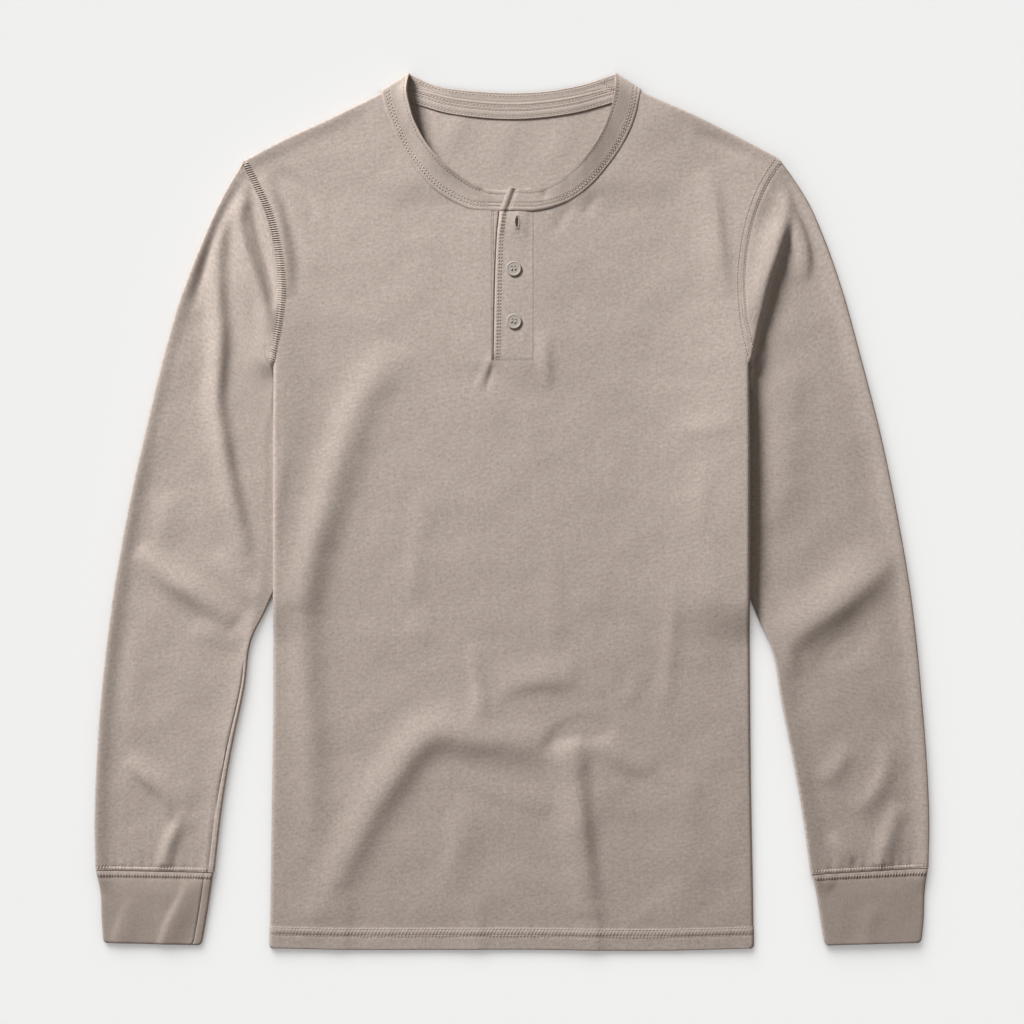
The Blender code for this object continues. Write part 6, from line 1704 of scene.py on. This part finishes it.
# ---------------------------------------------------------------- the shirt
front = build_front()
back = build_back()
sleeve_l, arms_l = build_sleeve("sleeve_left_cloth", SLEEVE_LEFT, -1, SLEEVE_FOLDS_LEFT)
sleeve_r, arms_r = build_sleeve("sleeve_right_cloth", SLEEVE_RIGHT, 1, SLEEVE_FOLDS_RIGHT)
cuff_l, plan_cuff_l = build_cuff("cuff_left_cloth", CUFF_LEFT, -1, CUFF_FOLDS_LEFT)
cuff_r, plan_cuff_r = build_cuff("cuff_right_cloth", CUFF_RIGHT, 1, CUFF_FOLDS_RIGHT)
band, band_rows, band_sides = build_band()
tape, tape_line = build_tape()
placket_top = build_placket_top()
placket_under = build_placket_under()
UNDER_TOP = PLACKET_LOW + WALL_PLACKET / 2
UPPER_TOP = PLACKET_HIGH + WALL_PLACKET / 2
buttons, holes = {}, {}
for button_name, button_x, button_y in BUTTONS:
    level = UNDER_TOP + 0.15 if button_name == "button_1" else UPPER_TOP - 0.35
    buttons[button_name], holes[button_name] = build_button(button_name + "_turned", button_x, button_y, level)

# ---------------------------------------------------------------- seams
sew = Sewing()
ground = Ground(front)
x = np.linspace(-196.5, 196.0, 240)
for row in HEM_STITCH:
    sew.row(ground, np.stack([x, track(HEM, x, 1) + row], axis=-1), length=1.8)
rows = [np.stack([x, track(HEM, x, 1) + row], axis=-1) for row in HEM_STITCH]
sew.rungs(ground, rows[0] + [0, 0.7], rows[1] - [0, 0.7], 2.8, radius=0.3, lean=2.4, lift=0.04, sink=0.3)
below = Ground(back)
for row in HEM_STITCH:
    sew.row(below, np.stack([x, track(HEM, x, 1) + row], axis=-1), up=-1.0, lift=0.02, radius=0.2, painted_pits=0)
hem_stitches = sew.make("stitches_hem")

sew = Sewing()
ground = Ground(band)
for side in (-1, 1, 0):
    part = band_rows[band_sides == side]
    if side == -1:
        part = part[part[:, 0] < -16.5]
    joined, free = part[:, :2], part[:, 2:]
    width = np.linalg.norm(free - joined, axis=1)[:, None]
    if side:
        for d in BAND_ROWS:
            sew.row(ground, (joined + (free - joined) * d / width)[5 if side > 0 else 2:-4], length=1.9, radius=0.44, painted_pits=1.5)
        sew.row(ground, (joined + (free - joined) * (1 - BAND_FREE_ROW / width))[5 if side > 0 else 2:-4], length=1.9, radius=0.36)
    else:
        # as far as the front half of the band, which lies over its ends
        sew.row(ground, (joined + (free - joined) * (1 - 2.4 / width))[np.abs(free[:, 0]) < 78], length=2.1)
        sew.row(ground, (joined + (free - joined) * 1.6 / width)[np.abs(joined[:, 0]) < 79], length=2.1)
# where the band's two ends are joined, behind the right shoulder
k = int(np.argmin(np.abs(band_rows[:, 0] - 84.0) + 1e3 * (band_sides != 0)))
seam = band_rows[k, :2] + (band_rows[k, 2:] - band_rows[k, :2]) * np.linspace(0.12, 0.9, 12)[:, None]
sew.row(ground, seam + [-0.9, 0], pitch=2.2, length=1.6)
sew.row(ground, seam + [1.1, 0], pitch=2.2, length=1.6)
band_stitches = sew.make("stitches_neckband")

sew = Sewing()
ground = Ground(tape)
for d in (1.8, 7.0):
    sew.row(ground, offset_line(tape_line, -SEAM - d)[2:-2], length=2.1)
tape_stitches = sew.make("stitches_tape")

sew = Sewing()
ground = Ground(front, sleeve_l, sleeve_r)
for hand in (-1, 1):
    line = ARM[hand].front[3:]
    out, inn = offset_line(line, 2.4), offset_line(line, -2.6)
    if hand > 0:
        out, inn = offset_line(line, -3.0), offset_line(line, 3.0)
        sew.row(ground, out, pitch=2.5, length=1.7)
        sew.row(ground, inn, pitch=2.5, length=1.7)
    else:
        # one broad band of slanted stitches laid across the seam, with painted needle-hole shade between them
        full = np.interp(np.linspace(0, 1, len(line)), (0, 0.3, 0.8, 1), (0.72, 1.0, 1.0, 0.55))
        sew.rungs(ground, offset_line(line, -4.9 * full), offset_line(line, 3.8 * full), 1.85, radius=0.44, lift=0.24, lean=1.3, pit_shade_radius=0.32)
armhole_stitches = sew.make("stitches_armholes")

sew = Sewing()
for seams, (plan, length, places), sleeve, cuff in ((arms_l, plan_cuff_l, sleeve_l, cuff_l), (arms_r, plan_cuff_r, sleeve_r, cuff_r)):
    end = seams["end"][5:-5, :2]
    inner_dir = (seams["rows"][-8, 5:-5, :2] - end)
    inner_dir /= np.linalg.norm(inner_dir, axis=1)[:, None]
    sew.row(Ground(sleeve), end + inner_dir * 3.9, pitch=2.6, length=1.4, radius=0.3)
    sew.rungs(Ground(sleeve), end + inner_dir * 3.4, end + inner_dir * 0.9, 2.3, radius=0.34, lift=0.1, pit_shade_radius=0.3)
    near, far = (int(np.argmin(np.abs(places - d))) for d in (1.8, 4.8))
    sew.rungs(Ground(cuff), plan[near][5:-5, :2], plan[far][5:-5, :2], 2.3, radius=0.38, lift=0.14, lean=0.3, pit_shade_radius=0.42)
cuff_stitches = sew.make("stitches_cuffs")

sew = Sewing()
ground = Ground(placket_top)
y = np.linspace(PLACKET_FOOT_Y + 2.0, 246.5, 90)
fold = track(PLACKET_FOLD, y, 1)
for d in PLACKET_ROWS:
    sew.row(ground, np.stack([fold + d, y], axis=-1), pitch=2.7, length=1.7, radius=0.46, lift=0.2, painted_pits=1.3)
x = np.linspace(-13.5, 17.6, 40)
sew.row(ground, np.stack([x, PLACKET_FOOT_Y + 0.9 + 0 * x], axis=-1), pitch=2.5, length=1.7, radius=0.3)
ground_under = Ground(placket_under)
y = np.linspace(212, 247, 30)
sew.row(ground_under, np.stack([PLACKET_SEAM_X + 2.0 + 0 * y, y], axis=-1), pitch=2.5, length=1.9, radius=0.16)
# buttonholes: close satin stitches down both sides, bars across the ends
for hole_name, bx, by in BUTTONS:
    gape = OPEN_HOLE if hole_name == "button_1" else BUTTONHOLE[0]
    w, l = 0.55, BUTTONHOLE[1] / 2
    yy = np.linspace(by - l + 0.1, by + l - 0.1, 26)
    for side in (-1, 1):
        rim = slit_width(yy - by, gape)
        a = np.stack([bx + side * (rim + 0.05), yy], axis=-1)
        b = np.stack([bx + side * (rim + 1.25), yy], axis=-1)
        sew.rungs(ground, a, b, 0.42, radius=0.2, lift=0.22, sink=0.15)
    for end in (-1, 1):
        xx = np.linspace(bx - w - 0.9, bx + w + 0.9, 12)
        a = np.stack([xx, by + end * (l + 0.1) + 0 * xx], axis=-1)
        b = np.stack([xx, by + end * (l + 1.3) + 0 * xx], axis=-1)
        sew.rungs(ground, a, b, 0.42, radius=0.2, lift=0.22, sink=0.15)
placket_stitches = sew.make("stitches_placket")

sew = Sewing()
for name, pts in holes.items():
    top = max(v.co.z for v in buttons[name].data.vertices) / MM
    for a, b in ((0, 3), (1, 2)):
        for shift in (-0.24, 0.0, 0.24):
            p, q = np.array(pts[a]), np.array(pts[b])
            d = (q - p) / np.linalg.norm(q - p)
            side = np.array([-d[1], d[0]]) * shift
            ts = np.linspace(0, 1, 7)
            xy = p + side + (q - p) * ts[:, None]
            z = top - 0.26 + 0.28 - 1.3 * np.abs(2 * ts - 1) ** 5
            sew.add(np.column_stack([xy, z])[None], 0.18, ends=0.9)
button_thread = sew.make("thread_buttons")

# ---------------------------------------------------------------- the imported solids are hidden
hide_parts("front_panel")
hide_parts("back_panel")
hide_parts("sleeve_left")
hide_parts("sleeve_right")
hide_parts("cuff_left")
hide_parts("cuff_right")
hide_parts("neckband")
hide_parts("neck_tape")
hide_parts("placket_top")
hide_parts("placket_under")
for button_name, piece in buttons.items():
    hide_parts(button_name)


# ---------------------------------------------------------------- the set
def floor_material():
    mat = bpy.data.materials.new("pale_floor")
    mat.use_nodes = True
    tree = mat.node_tree
    shader = tree.nodes["Principled BSDF"]
    where = tree.nodes.new("ShaderNodeTexCoord").outputs["Object"]
    scaled = node(tree, "ShaderNodeVectorMath", op="SCALE", in0=where)
    scaled.inputs["Scale"].default_value = 1000.0
    n = noise(tree, scaled.outputs[0], (400, 400), 1.0, 0.4)
    mix = tree.nodes.new("ShaderNodeMix")
    mix.data_type = "RGBA"
    mix.inputs["A"].default_value = (0.82, 0.82, 0.82, 1)
    mix.inputs["B"].default_value = (0.826, 0.826, 0.826, 1)
    tree.links.new(n, mix.inputs["Factor"])
    tree.links.new(mix.outputs["Result"], shader.inputs["Base Color"])
    shader.inputs["Roughness"].default_value = 0.95
    shader.inputs["Specular IOR Level"].default_value = 0.0
    return mat


mesh = bpy.data.meshes.new("floor")
mesh.from_pydata([(-4, -4, -0.0004), (4, -4, -0.0004), (4, 4, -0.0004), (-4, 4, -0.0004)], [], [(0, 1, 2, 3)])
mesh.materials.append(floor_material())
floor = bpy.data.objects.new("floor", mesh)
bpy.context.scene.collection.objects.link(floor)

KEY_FROM = 126.0        # degrees from +X: above and to the left of the picture
KEY_HEIGHT = 26.0       # degrees above the surface
KEY_AWAY = 3.0          # metres from the middle of the shirt
KEY_SIZE = 0.95
KEY_WATTS = 168.0
FLOOR_KEY = (34.0, 44.0, 2.15)      # height and width in degrees, strength
FLOOR_KEY_FROM = 112.0
FLOOR_FILL = (90.0, 150.0, 1.54)
FILL = 0.215


def aim(obj, height, turn, away):
    h, a = math.radians(height), math.radians(turn)
    to_light = Vector((math.cos(a) * math.cos(h), math.sin(a) * math.cos(h), math.sin(h)))
    obj.rotation_euler = to_light.to_track_quat("Z", "Y").to_euler()
    obj.location = to_light * away


def lit_only(obj, pieces, name):
    """The cloth and the surface under it are lit apart, as in a cut-out picture."""
    group = bpy.data.collections.new(name)
    for piece in pieces:
        group.objects.link(piece)
    obj.light_linking.receiver_collection = group


light = bpy.data.lights.new("key", "AREA")
light.shape = "DISK"
light.size = KEY_SIZE
light.energy = KEY_WATTS
light.color = (1.0, 0.995, 0.985)
key = bpy.data.objects.new("key", light)
aim(key, KEY_HEIGHT, KEY_FROM, KEY_AWAY)
bpy.context.scene.collection.objects.link(key)
lit_only(key, [o for o in bpy.context.scene.objects if o.type == "MESH" and o != floor], "shirt_pieces")
for light_name, (height, wide, power) in (("floor_key", FLOOR_KEY), ("floor_fill", FLOOR_FILL)):
    light = bpy.data.lights.new(light_name, "SUN")
    light.energy = power
    light.angle = math.radians(wide)
    light.color = (0.968, 0.985, 0.992)
    lamp = bpy.data.objects.new(light_name, light)
    aim(lamp, height, FLOOR_KEY_FROM, 3)
    bpy.context.scene.collection.objects.link(lamp)
    lit_only(lamp, [floor], light_name + "_on")

world = bpy.data.worlds.new("soft_room")
world.use_nodes = True
world.node_tree.nodes["Background"].inputs[0].default_value = (1.0, 0.925, 0.865, 1)
world.node_tree.nodes["Background"].inputs[1].default_value = FILL
bpy.context.scene.world = world
bpy.context.scene.view_settings.view_transform = "Standard"
bpy.context.scene.view_settings.look = "None"

camera_data = bpy.data.cameras.new("camera")
camera = bpy.data.objects.new("camera", camera_data)
HEIGHT = 2.6
VIEW_WIDTH = 1024 * 0.823 * MM
camera_data.sensor_width = 36.0
camera_data.lens = 36.0 * (HEIGHT - 0.004) / VIEW_WIDTH
camera_data.clip_start = 0.05
camera_data.clip_end = 20
camera.location = (0, 0, HEIGHT)
camera.rotation_euler = (0, 0, 0)
bpy.context.scene.collection.objects.link(camera)
bpy.context.scene.camera = camera
